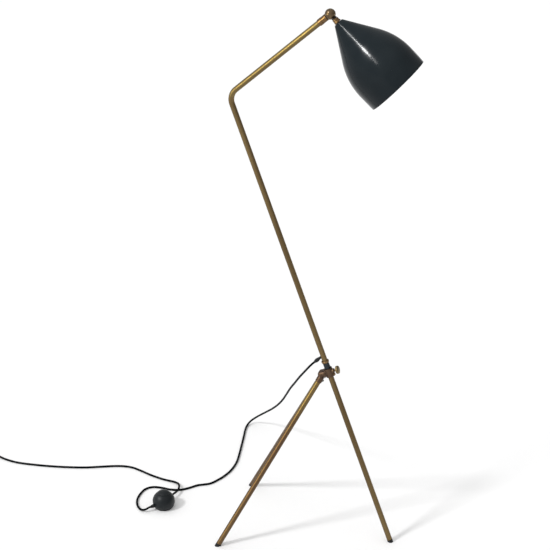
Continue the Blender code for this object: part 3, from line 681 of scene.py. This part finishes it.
def fused(name, mesh, place, voxel, rounds):
    """The mesh as one skin of small faces, with its corners softened."""
    rough = helper(name, mesh, place)
    voxels = rough.modifiers.new("fuse", "REMESH")
    voxels.mode, voxels.voxel_size = "VOXEL", voxel * MM
    soften = rough.modifiers.new("soften", "SMOOTH")
    soften.factor, soften.iterations = 0.5, rounds
    mesh = with_modifiers(rough)
    bpy.data.objects.remove(rough)
    return mesh


def hub_casting():
    """One casting: the parts are fused and softened, then the bores and faces are cut clean."""
    body = lathe("sleeve", [(0, 21.5), (9.7, 21.5), (9.7, 1.6), (8.6, 0.5), (0, 0.5)], 72)
    steps = [
        ("UNION", box_mesh("web", (-25.5, -11.0, 3.8), (-4, 11.0, 18.6), 6.2), POLE_FRAME),
        ("UNION", rod(5.3, 6, 12.9), CLAMP_FRAME),
        ("UNION", rod(4.2, 6, 10.6), LEG_SCREW_FRAME),
    ]
    sockets = {n: shifted(LEG_FRAMES[n], z=SOCKET_MOUTH) for n in ("left", "right")}
    outline = [(0, 17.9), *arc(0, 10.3, 7.6, 80, 0, 10), (7.6, 0), (0, 0)]
    for place in sockets.values():
        steps.append(("UNION", lathe("socket", outline, 56), place))
    mesh = combined("hub_rough", POLE_FRAME, body, *steps)
    mesh = fused("hub_rough", mesh, POLE_FRAME, 0.42, 9)
    cuts = [
        ("DIFFERENCE", rod(7.25, 10.0, 30), POLE_FRAME),
        ("DIFFERENCE", lathe("mouth", [(0, 23), (9.2, 23), (7.2, 21.0), (0, 21.0)]), POLE_FRAME),
        ("DIFFERENCE", rod(6.45, -6, 8.8), POLE_FRAME),
        ("DIFFERENCE", rod(2.2, 5, 20), CLAMP_FRAME),
        ("DIFFERENCE", rod(1.8, 5, 16), LEG_SCREW_FRAME),
    ]
    for place in sockets.values():
        cuts.append(("DIFFERENCE", rod(6.45, -6, SOCKET_DEPTH), place))
        cuts.append(("DIFFERENCE", rod(1.8, 4.6, 14), turned_by(shifted(place, z=7), 90, "Y")))
    mesh = combined("hub", POLE_FRAME, mesh, *cuts)
    piece("hub", mesh, POLE_FRAME, "tripod", "brass_cast", "hub_casting", angle=50)


def slotted(name, outline, place, body, look, node, top, wide=0.7, deep=0.9):
    """A turned screw with a driver slot across its head."""
    slot = box_mesh("slot", (-8, -wide / 2, top - deep), (8, wide / 2, top + 2))
    mesh = combined(name, place, lathe(name, outline, 40), ("DIFFERENCE", slot, place))
    piece(name, mesh, place, body, look, node)


def legs():
    for name, place in LEG_FRAMES.items():
        node = "front_leg" if name == "front" else f"rear_leg_{name}"
        top = LEG_LENGTHS[name]
        outline = [(TUBE_R, top, 0.3), (TUBE_R, 6.3, 0.5), (LEG_BORE, 6.3, 0.3), (LEG_BORE, top, 0.3)]
        turned(node + "_tube", outline, place, "tripod",
               "brass_tube" if name == "front" else "brass_rear", node, ring=True)
        tip = lathe("tip", [(0, 18), (4.5, 18, 1), (4.5, 6), (TUBE_R, 6, 0.5), (TUBE_R, -8), (0, -8)])
        floor = box_mesh("below", (-400, -300, -40), (400, 300, 0))
        mesh = combined("tip", place, tip, ("DIFFERENCE", floor, LEVEL))
        piece(f"foot_{name}", mesh, levelled(mesh, place), "tripod", "rubber", f"foot_tip_{name}")
    screw = [(0, 12.5), (2.7, 12.5, 0.9), (2.9, 10.7, 0.2), (1.6, 10.7), (1.6, 6.6), (0, 6.6)]
    slotted("leg_screw_front", screw, LEG_SCREW_FRAME, "tripod", "brass_turned", "front_leg_screw",
            12.5)
    screw = [(0, 10.0), (2.6, 10.0, 0.8), (2.8, 8.0, 0.2), (1.6, 8.0), (1.6, 6.6), (0, 6.6)]
    for name in ("left", "right"):
        place = turned_by(shifted(LEG_FRAMES[name], z=SOCKET_MOUTH + 7), 90, "Y")
        slotted(f"leg_screw_{name}", screw, place, "tripod", "steel", f"rear_leg_screw_{name}", 10.0)


def clamp():
    """The thumb screw: its thread and its notched knob."""
    notches, notch_depth = 40, 0.3
    mesh = threaded("clamp_thread", 2.0, 0.35, 0.8, 6.8, 21.4)
    piece("clamp_thread", mesh, CLAMP_FRAME, "clamp_screw", "brass_turned", "clamp_screw", slot="steel")
    outline = [(0, 25.2), (3.0, 25.1), (6.4, 24.7, 1.5), (8.9, 23.6, 0.9), (9.2, 22.4, 0.4),
               (9.2, 19.5, 0.4), (8.6, 18.3, 0.8), (4.8, 17.7, 0.9), (3.4, 16.8, 0.3), (2.3, 16.8),
               (2.3, 21.8), (0, 21.8)]
    mesh = lathe("knob", outline, 120)
    for vertex in mesh.vertices:
        flat = Vector((vertex.co.x, vertex.co.y, 0))
        if flat.length > 8.9 * MM:
            turn = math.atan2(flat.y, flat.x) * notches / (2 * math.pi)
            wave = abs(2 * (turn - math.floor(turn)) - 1)
            vertex.co -= flat.normalized() * notch_depth * MM * wave
    piece("clamp_knob_fine", mesh, CLAMP_FRAME, "clamp_screw", "brass_knob", "clamp_knob")


# ---------------------------------------------------------------- pole, arm and spigot

def bent_line(start, end):
    """The line of the bent tube: straight, round the bend, straight."""
    turn, count = POLE.angle(ARM), 40
    reach = BEND_R * math.tan(turn / 2)
    inwards = (ARM - POLE * POLE.dot(ARM)).normalized()
    centre = CORNER - POLE * reach + inwards * BEND_R
    bend = []
    for i in range(count + 1):
        a = turn * i / count
        bend.append(centre - inwards * BEND_R * math.cos(a) + POLE * BEND_R * math.sin(a))
    return [start, *bend, end]


def pole():
    spigot = [(0, 44), (4.9, 44, 0.5), (4.9, 35.2), (7.0, 35.2, 0.5), (7.0, 16.0, 0.3),
              (6.4, 15.4, 0.3), (6.4, 11.2, 0.3), (7.0, 10.6, 0.2), (6.7, 10.3, 0.2), (0, 10.3)]
    turned("spigot", spigot, POLE_FRAME, "pole", "black_oxide", "pole_spigot")
    outline = [(6.5, 41.5, 0.2), (7.7, 41.5, 0.5), (8.6, 40.4, 0.7), (8.6, 37.6, 0.5),
               (8.2, 37.0, 0.3), (8.4, 36.4, 0.3), (7.6, 35.5, 0.4), (6.5, 35.5, 0.2)]
    screw = turned_by(shifted(POLE_FRAME, z=38.7), -90, "Y")
    mesh = combined("collar", POLE_FRAME, lathe("collar", outline, 72, True),
                    ("DIFFERENCE", rod(1.6, 4, 12), screw))
    piece("collar", mesh, POLE_FRAME, "pole", "brass_turned", "pole_collar")
    grub = [(0, 9.1), (1.3, 9.1, 0.2), (1.3, 6.5), (0, 6.5)]
    slotted("collar_grub", grub, screw, "pole", "steel", "collar_screw", 9.1, 0.5, 0.8)

    line = bent_line(HUB + POLE * 35.5, BALL - ARM * 15.3)
    local = POLE_FRAME.inverted()
    line = [(local @ (p * MM)) / MM for p in line]
    tube = helper("tube", tube_mesh("tube", line, TUBE_R, 64, capped=False), POLE_FRAME)
    wall = tube.modifiers.new("wall", "SOLIDIFY")
    wall.thickness, wall.offset = TUBE_WALL * MM, -1
    mesh = combined("tube", POLE_FRAME, with_modifiers(tube),
                    ("DIFFERENCE", rod(2.8, 3.4, 12), EXIT_FRAME))
    bpy.data.objects.remove(tube)
    piece("pole_tube", mesh, levelled(mesh, POLE_FRAME), "pole", "brass_pole", "pole_and_arm")
    mesh.materials.append(LOOKS["brass_arm_painted_light"])
    # The arm starts past the plane that halves the bend. From there the tube takes the lighter arm
    # brass, which is painted light.
    for face in mesh.polygons:
        face.material_index = int((face.center - (CORNER - HUB) * MM).dot(ARM + POLE) > 0)
    relief = [(0, 27, 0.2), (2.9, 27, 0.6), (3.5, 25.4, 0.8), (4.5, 21.6, 0.9), (4.5, 19.2, 0.9),
              (3.6, 14, 1.5), (2.7, 9.2, 0.8), (2.6, 4), (0, 4)]
    turned("relief", relief, EXIT_FRAME, "pole", "rubber", "strain_relief", steps=48)
    ferrule = [(6.4, -30.4, 0.1), (7.0, -30.4, 0.3), (7.5, -29.6, 0.5), (7.5, -21.4, 0.4),
               (7.1, -21.0, 0.2), (7.0, -20.5, 0.2), (7.3, -20.0, 0.3), (7.3, -9.5, 0.3),
               (6.9, -9.2, 0.2), (4.9, -10.8, 0.2), (4.9, -15), (6.4, -15)]
    turned("ferrule", ferrule, ARM_FRAME, "pole", "brass_turned", "arm_ferrule", ring=True)


# ---------------------------------------------------------------- ball joint

def slot_cutter():
    """The room for the stem's tilt: a thick fan in XY about the pivot."""
    half, reach, count = STEM_R + GAP, 16, 24
    bm = bmesh.new()
    outline = []
    for i in range(count + 1):
        dip = SHADE_DIP - TILT_UP + (TILT_UP + TILT_DOWN) * i / count
        outline.append(Vector((math.cos(dip), math.sin(dip))) * reach)
    first, last = outline[0].normalized(), outline[-1].normalized()
    outline = [first.orthogonal() * -half + first * reach, *outline,
               last.orthogonal() * half + last * reach,
               last.orthogonal() * half, first.orthogonal() * -half]
    loops = [[bm.verts.new((p.x * MM, p.y * MM, z * MM)) for p in outline] for z in (-half, half)]
    for i in range(len(outline)):
        k = (i + 1) % len(outline)
        bm.faces.new((loops[0][i], loops[0][k], loops[1][k], loops[1][i]))
    bm.faces.new(loops[0])
    bm.faces.new(loops[1])
    return mesh_of(bm, "slot")


def ball_joint():
    """The slotted ball in two halves; the rear one has the neck that turns in the arm."""
    for name, way in (("front", 1), ("rear", -1)):
        near, far = sorted((way * 0.15, -way * 30))
        steps = [("DIFFERENCE", box_mesh("away", (near, -20, -20), (far, 20, 20)), BALL_FRAME)]
        if way < 0:
            neck = [(0, -9), (4.5, -9), (4.5, -15.6), (3.4, -15.6), (3.4, -23.4), (2.9, -24), (0, -24)]
            steps.insert(0, ("UNION", lathe("neck", neck, 48), ARM_FRAME))
            steps.append(("DIFFERENCE", rod(2.2, -30, -4), ARM_FRAME))
        steps += [("DIFFERENCE", rod(6.3, -4.4, 4.4, 56), SLOT_FRAME),
                  ("DIFFERENCE", slot_cutter(), SLOT_FRAME),
                  ("DIFFERENCE", rod(1.9, -8.5, 8.5), SLOT_FRAME)]
        mesh = combined(f"ball_{name}", BALL_FRAME, ball_mesh("ball", BALL_R), *steps)
        # The halves take the darker ball brass, which is painted shade.
        piece(f"ball_{name}", mesh, BALL_FRAME, "ball", "brass_ball_painted_shade", f"ball_{name}_half", angle=25)


# ---------------------------------------------------------------- shade and lampholder

def neck():
    mesh = combined("stem", SHADE_FRAME, rod(STEM_R, 0, 34, 48),
                    ("UNION", rod(4.9, -3.3, 3.3, 48), SLOT_FRAME),
                    ("DIFFERENCE", rod(1.9, -6, 6), SLOT_FRAME),
                    ("DIFFERENCE", rod(2.0, 7, 36), SHADE_FRAME))
    piece("stem", mesh, SHADE_FRAME, "shade", "brass_turned", "neck_stem")
    turned("washer", [(3.8, 12.1, 0.2), (5.7, 12.1, 0.3), *arc(0, 0, BALL_R + 0.45, 61, 71, 3)],
           SHADE_FRAME, "shade", "rubber", "neck_washer", ring=True)
    ring = [(3.8, 12.3), (5.8, 12.3, 0.3), (6.4, 13.0, 0.3), (6.3, 14.3, 0.5), (6.7, 15.6, 0.6),
            (6.6, 17.6, 0.8), (7.4, 20.4, 0.8), (7.6, 21.8, 0.3), (7.2, 22.7, 0.3), (3.8, 22.7)]
    turned("neck_ring", ring, SHADE_FRAME, "shade", "brass_turned", "neck_ferrule", ring=True)


def shoulder(slope):
    """The shade's radius and height where its shoulder has this slope to its axis."""
    below_cone = SHADE_WIDEST - SHOULDER_R * (1 - math.cos(CONE_SLOPE)) - SHADE_TOP_R
    end = SHADE_TOP + below_cone / math.tan(CONE_SLOPE) + SHOULDER_R * math.sin(CONE_SLOPE)
    return SHADE_WIDEST - SHOULDER_R * (1 - math.cos(slope)), end - SHOULDER_R * math.sin(slope)


def shade_outline():
    """Top plate, a straight cone, a long round shoulder and a skirt that draws in a little."""
    cone_r, cone_end = shoulder(CONE_SLOPE)
    start, cone_count, shoulder_count = SHADE_TOP + 1.5, 12, 24
    points = [(4.0, SHADE_TOP), (8.6, SHADE_TOP, 0.4), (10.2, SHADE_TOP + 0.5, 0.6)]
    for i in range(cone_count):
        t = i / cone_count
        points.append((SHADE_TOP_R + (cone_r - SHADE_TOP_R) * t, start + (cone_end - start) * t))
    for i in range(shoulder_count + 1):
        points.append(shoulder(CONE_SLOPE * (1 - i / shoulder_count)))
    return points + [(69.95, 160.0), (69.8, 178.0), (69.5, 190.0)]


def shade():
    """The spun shell: its outside, a rolled rim, and an inside one wall away."""
    outside = shade_outline()
    plain = [Vector(p[:2]) for p in outside]
    inside = []
    for i, point in enumerate(plain):
        run = plain[min(i + 1, len(plain) - 1)] - plain[max(i - 1, 0)]
        away = Vector((-run.y, run.x)).normalized()
        inside.append(point + away * SHADE_WALL)
    inside = [(max(p.x, 4.0), p.y) for p in inside[3:]]
    rim = [(69.3, SHADE_RIM - 1), (69.1, SHADE_RIM - 0.2), (68.7, SHADE_RIM),
           (68.3, SHADE_RIM - 0.2), (68.2, SHADE_RIM - 0.8)]
    bottom = [(4.0, SHADE_TOP + SHADE_WALL), (9.4, SHADE_TOP + SHADE_WALL)]
    outline = [*outside, *rim, *inside[::-1], *bottom[::-1]]
    mesh = lathe("shade_shell", outline, 128, True)
    inner = [
        face.index for face in mesh.polygons
        if face.normal.xy.dot(face.center.xy) < 0 and face.center.xy.length > 9 * MM
    ]
    piece("shade_shell", mesh, levelled(mesh, SHADE_FRAME), "shade", "shade_enamel", "shade", angle=40)
    mesh.materials.append(LOOKS["shade_inside"])
    for index in inner:
        mesh.polygons[index].material_index = 1


def lampholder():
    cap = [(3.8, 29, 0.3), (8.6, 29, 0.5), (9.4, 29.8, 0.4), (9.6, 34, 1), (12, 38, 1.5),
           (16.6, 43, 1.5), (18.6, 46.5, 1), (19, 50, 0.5), (19, 54, 0.4), (14.4, 54), (14.4, 42),
           (9, 37), (3.8, 37)]
    turned("holder_cap", cap, SHADE_FRAME, "shade", "bakelite", "lampholder_cap", ring=True)
    ribs = [(14.4, 54.3), (19, 54.3, 0.4), (19, 60, 0.4), (18.3, 61, 0.3)]
    for i in range(5):
        z = 62.5 + i * 3
        ribs += [(18.3, z, 0.3), (17.7, z + 0.5, 0.3), (17.7, z + 1.2, 0.3), (18.3, z + 1.7, 0.3)]
    ribs += [(18.2, 78, 0.6), (17.4, 80, 0.5), (14.4, 80, 0.3)]
    turned("holder_shell", ribs, SHADE_FRAME, "shade", "bakelite", "lampholder_shell", ring=True)
    foot = [(0, 56.6), (4.6, 56.6, 0.4), (5.2, 57.6, 0.4), (9, 59.5, 1), (12.2, 61, 0.8),
            (12.6, 62, 0.5), (12.6, 80.4, 0.5), (13.0, 82.6, 0.4), (12.4, 84, 0.3), (12.1, 84),
            (12.1, 63), (0, 60.5)]
    turned("lamp_foot", foot, SHADE_FRAME, "shade", "steel", "bulb_cap")
    glass = [(12.2, 84.4), (13.6, 88), (14.6, 94), (16.8, 100), (20.6, 106.0),
             *arc(0, 131, 30, -52, 86, 28), (0, 161)]
    turned("bulb", glass, SHADE_FRAME, "shade", "opal_glass", "bulb_glass", steps=72)


# ---------------------------------------------------------------- foot switch

def switch_radius(height):
    """The radius of the switch's domed body at a height above the floor."""
    return SWITCH_R * math.sqrt(1 - ((height - SWITCH_MID) / SWITCH_DOME) ** 2)


def push_spring(place, radius, low, high):
    """The button's coil spring, in its rest shape."""
    turns, closed, fine, wire_r = 5.5, 0.8, 28, 0.5
    line = []
    for i in range(round(turns * fine) + 1):
        t = i / (turns * fine)
        rise = min(max((t * turns - closed) / (turns - 2 * closed), 0), 1)
        a = 2 * math.pi * turns * t
        line.append(Vector((radius * math.cos(a), radius * math.sin(a),
                            low + wire_r + (high - low - 2 * wire_r) * rise)))
    spring = piece("push_spring", tube_mesh("push_spring", line, wire_r, 12), place, "tripod",
                   "steel", "button_spring")
    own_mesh(spring)


def foot_switch():
    place, seam, mouth = SWITCH_FRAME, 6.2, 14.4
    sole = [(0, 1.6), (21.0, 1.6, 0.3), (21.0, 0.1, 0.3), (0, 0.1)]
    turned("switch_sole", sole, place, "tripod", "rubber", "switch_pad")
    base = [(0, seam - 0.4), (switch_radius(seam) - 0.3, seam - 0.4, 0.3), (switch_radius(3), 3, 0.8),
            (22.6, 1.8, 0.4), (0, 1.8)]
    turned("switch_bottom", base, place, "tripod", "bakelite", "switch_base", steps=96)
    top = SWITCH_MID + SWITCH_DOME * math.sqrt(1 - (mouth / SWITCH_R) ** 2)
    heights = [seam + (top - seam) * (i / 28) ** 0.8 for i in range(29)]
    outside = [(switch_radius(heights[0]) - 0.3, seam + 0.1)]
    outside += [(switch_radius(h), h) for h in heights[1:]]
    outline = [*outside, (mouth - 0.4, top - 0.4), (mouth - 0.5, top - 2.4), (18.4, 28.0),
               (21.6, 21.0), (23.2, 12.0), (22.2, seam + 0.1)]
    cuts = [("DIFFERENCE", rod(4.3, 15, 32), gland) for gland in (GLAND_OUT, GLAND_IN)]
    mesh = combined("switch_top", place, lathe("switch_top", outline, 96, True), *cuts)
    piece("switch_top", mesh, place, "tripod", "bakelite", "switch_cover")
    sleeve = [(2.7, 21.7), (4.0, 21.7), (4.0, 26.9, 0.2), (4.7, 27.3, 0.3), (4.5, 28.9, 0.4),
              (3.7, 31.8, 0.6), (3.2, 35, 0.3), (2.7, 35, 0.2)]
    for name, gland in (("out", GLAND_OUT), ("in", GLAND_IN)):
        turned(f"gland_{name}", sleeve, gland, "tripod", "rubber", f"switch_gland_{name}", steps=40,
               ring=True)
    push_spring(place, 6.3, 15.3, 32.2)
    dome = arc(0, BUTTON_TOP - BUTTON_DOME, BUTTON_DOME, 53, 88, 12)
    turned("switch_push", [(0, 32.5), (14.8, 32.5), (14.8, 34.0), (13.9, 34.4), (13.9, top + 0.9, 0.6),
                           *dome, (0, BUTTON_TOP)],
           place, "switch_button", "bakelite", "switch_button", steps=96)


# ---------------------------------------------------------------- plug and tie

def plug():
    body = box_mesh("plug", (-6.8, -17.6, 0), (6.8, 17.6, 20), 3.2, 6)
    throat = box_mesh("throat", (-5.8, -9, 12), (5.8, 9, 36), 3.8, 6)
    mesh = combined("plug", PLUG_BACK, body, ("UNION", throat, PLUG_BACK))
    mesh = fused("plug_rough", mesh, PLUG_BACK, 0.5, 8)
    cuts = [("DIFFERENCE", rod(3.6, 30, 45), PLUG_BACK)]
    for z in (23, 26, 29, 32):
        grip = box_mesh("grip", (-8, -12, z), (8, -8.2, z + 1.2))
        cuts += [("DIFFERENCE", grip.copy(), turned_by(PLUG_BACK, turn, "Z")) for turn in (0, 180)]
    for way in (-1, 1):
        cuts.append(("DIFFERENCE", rod(2.3, -5, 6), shifted(PLUG_BACK, y=way * PIN_OFFSET)))
    mesh = combined("plug", PLUG_BACK, mesh, *cuts)
    piece("plug", mesh, PLUG_BACK, "tripod", "rubber", "plug_body")
    pin = [(0, -19), (1.2, -18.9, 0.6), (2.0, -17.6, 0.5), (2.0, -9.5, 0.1), (1.85, -9.4, 0.1),
           (1.85, 5.7), (0, 5.7)]
    for number, way in ((1, -1), (2, 1)):
        turned(f"pin_{number}", pin, shifted(PLUG_BACK, y=way * PIN_OFFSET), "tripod", "steel",
               f"plug_pin_{number}", steps=40)
    rings = [(2.7, 30.4), (3.3, 30.4), (3.3, 37), (4.3, 37.2, 0.3)]
    for i in range(4):
        z = 39 + i * 3.4
        r = 4.25 - (z - 37) * 0.055
        rings += [(r, z, 0.2), (r - 0.7, z + 0.4, 0.2), (r - 0.7, z + 1.2, 0.2), (r - 0.1, z + 1.6, 0.2)]
    rings += [(3.4, 54, 0.3), (2.7, 54, 0.1)]
    turned("plug_tail", rings, PLUG_BACK, "tripod", "rubber", "plug_relief", steps=40, ring=True)
    place = Matrix.Translation(COIL * MM)
    low, high = Vector((-3, -36.7, -1.3)), Vector((3, -17.8, 11.7))
    wall = Vector((-6, 1, 1))
    mesh = combined("tie", place, box_mesh("tie", low, high, 1.2, 4),
                    ("DIFFERENCE", box_mesh("inside", low + wall, high - wall, 1.0, 4), place))
    piece("tie", mesh, place, "tripod", "rubber", "coil_tie")


# ---------------------------------------------------------------- stage

def stage():
    """A plain pale floor, and a white sky that is brighter from the upper left of the front."""
    bm = bmesh.new()
    bmesh.ops.create_grid(bm, x_segments=1, y_segments=1, size=60)
    floor = helper("floor", mesh_of(bm, "floor"), LEVEL)
    made, surface = shader("floor", (0.95, 0.95, 0.95), 0.7)
    tone = noise(made, place_of(made), 3, 4, 0.6)
    link(made, ramp(made, tone, (0.3, (0.945, 0.945, 0.945)), (0.7, (0.96, 0.96, 0.96))),
         surface.inputs["Base Color"])
    floor.data.materials.append(made)
    world = bpy.data.worlds.new("studio")
    bpy.context.scene.world = world
    world.use_nodes = True
    toward = add(world, "VectorMath", operation="DOT_PRODUCT")
    link(world, add(world, "TexCoord").outputs["Generated"], toward.inputs[0])
    toward.inputs[1].default_value = Vector((-0.55, -0.50, 0.67)).normalized()
    background = world.node_tree.nodes["Background"]
    strength = span(world, toward.outputs["Value"], -0.8, 0.9, 0.25, 1.0)
    link(world, strength, background.inputs["Strength"])
    background.inputs["Color"].default_value = (1, 1, 1, 1)
    bpy.context.scene.view_settings.view_transform = "Standard"


def direction(azimuth, elevation):
    a, e = math.radians(azimuth), math.radians(elevation)
    return Vector((math.cos(a) * math.cos(e), math.sin(a) * math.cos(e), math.sin(e)))


def far_light(name, towards, strength, width, lit, colour=(1, 1, 1)):
    """A distant lamp in the direction towards, width degrees across, for the lit pieces only."""
    data = bpy.data.lights.new(name, "SUN")
    data.energy, data.angle, data.color = strength, math.radians(width), colour
    lamp = bpy.data.objects.new(name, data)
    bpy.context.scene.collection.objects.link(lamp)
    side = (UP - towards * UP.dot(towards)).normalized()
    lamp.matrix_world = Matrix((side, towards.cross(side), towards)).transposed().to_4x4()
    receivers = bpy.data.collections.new(name + "_lights")
    for obj in lit:
        receivers.objects.link(obj)
    lamp.light_linking.receiver_collection = receivers


def mirrored_at(slope, turn):
    """The direction that the shade's shoulder mirrors to the camera, where it has this slope."""
    radius, height = shoulder(slope)
    outwards = Vector((math.cos(turn), math.sin(turn), 0))
    point = SHADE_FRAME @ ((outwards * radius + UP * height) * MM)
    normal = SHADE_FRAME.to_3x3() @ (outwards * math.cos(slope) - UP * math.sin(slope))
    sight = (camera.location - point).normalized()
    return normal * (2 * normal.dot(sight)) - sight


def lights():
    pieces = [o for o in bpy.data.objects if o.type == "MESH" and o.data.materials]
    metal = [o for o in pieces if o.data.materials[0].name.startswith("brass")]
    enamelled = [o for o in pieces if o.data.materials[0] == LOOKS["shade_enamel"]]
    others = [o for o in pieces if o not in enamelled]
    far_light("key", direction(-137, 44), 1.4, 8, others)
    # Small lamps whose reflections make a streak down the shade, from its cone over its shoulder.
    streak_turn = math.radians(249)  # about the shade's axis
    # The shoulder's slope in degrees, and the strength of the lamp seen there.
    streak = ((31, 0.55), (29, 1.1), (27, 1.6), (24, 1.5), (21, 0.8), (17, 0.4), (13, 0.2))
    for i, (slope, strength) in enumerate(streak):
        far_light(f"row_{i}", mirrored_at(math.radians(slope), streak_turn), strength, 3, enamelled)
    far_light("side", direction(-132, 9), 1.4, 20, metal, (1, 0.94, 0.55))



hub_casting()
legs()
clamp()
pole()
ball_joint()
neck()
shade()
lampholder()
foot_switch()
plug()
stage()
lights()

# CAD solids that show as they are, with a look of their own.
carried = {
    "inner_flex": "flex", "pivot_pin": "steel",
    "swivel_nut": "brass_turned", "shade_nut": "brass_turned",
    "lampholder_insert": "ceramic", "centre_contact": "brass_turned", "lamp_thread": "brass_turned",
    "switch_mechanism": "ceramic", "switch_screw_1": "steel", "switch_screw_2": "steel",
}
for node, look in carried.items():
    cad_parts[node].data.materials.clear()
    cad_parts[node].data.materials.append(LOOKS[look])
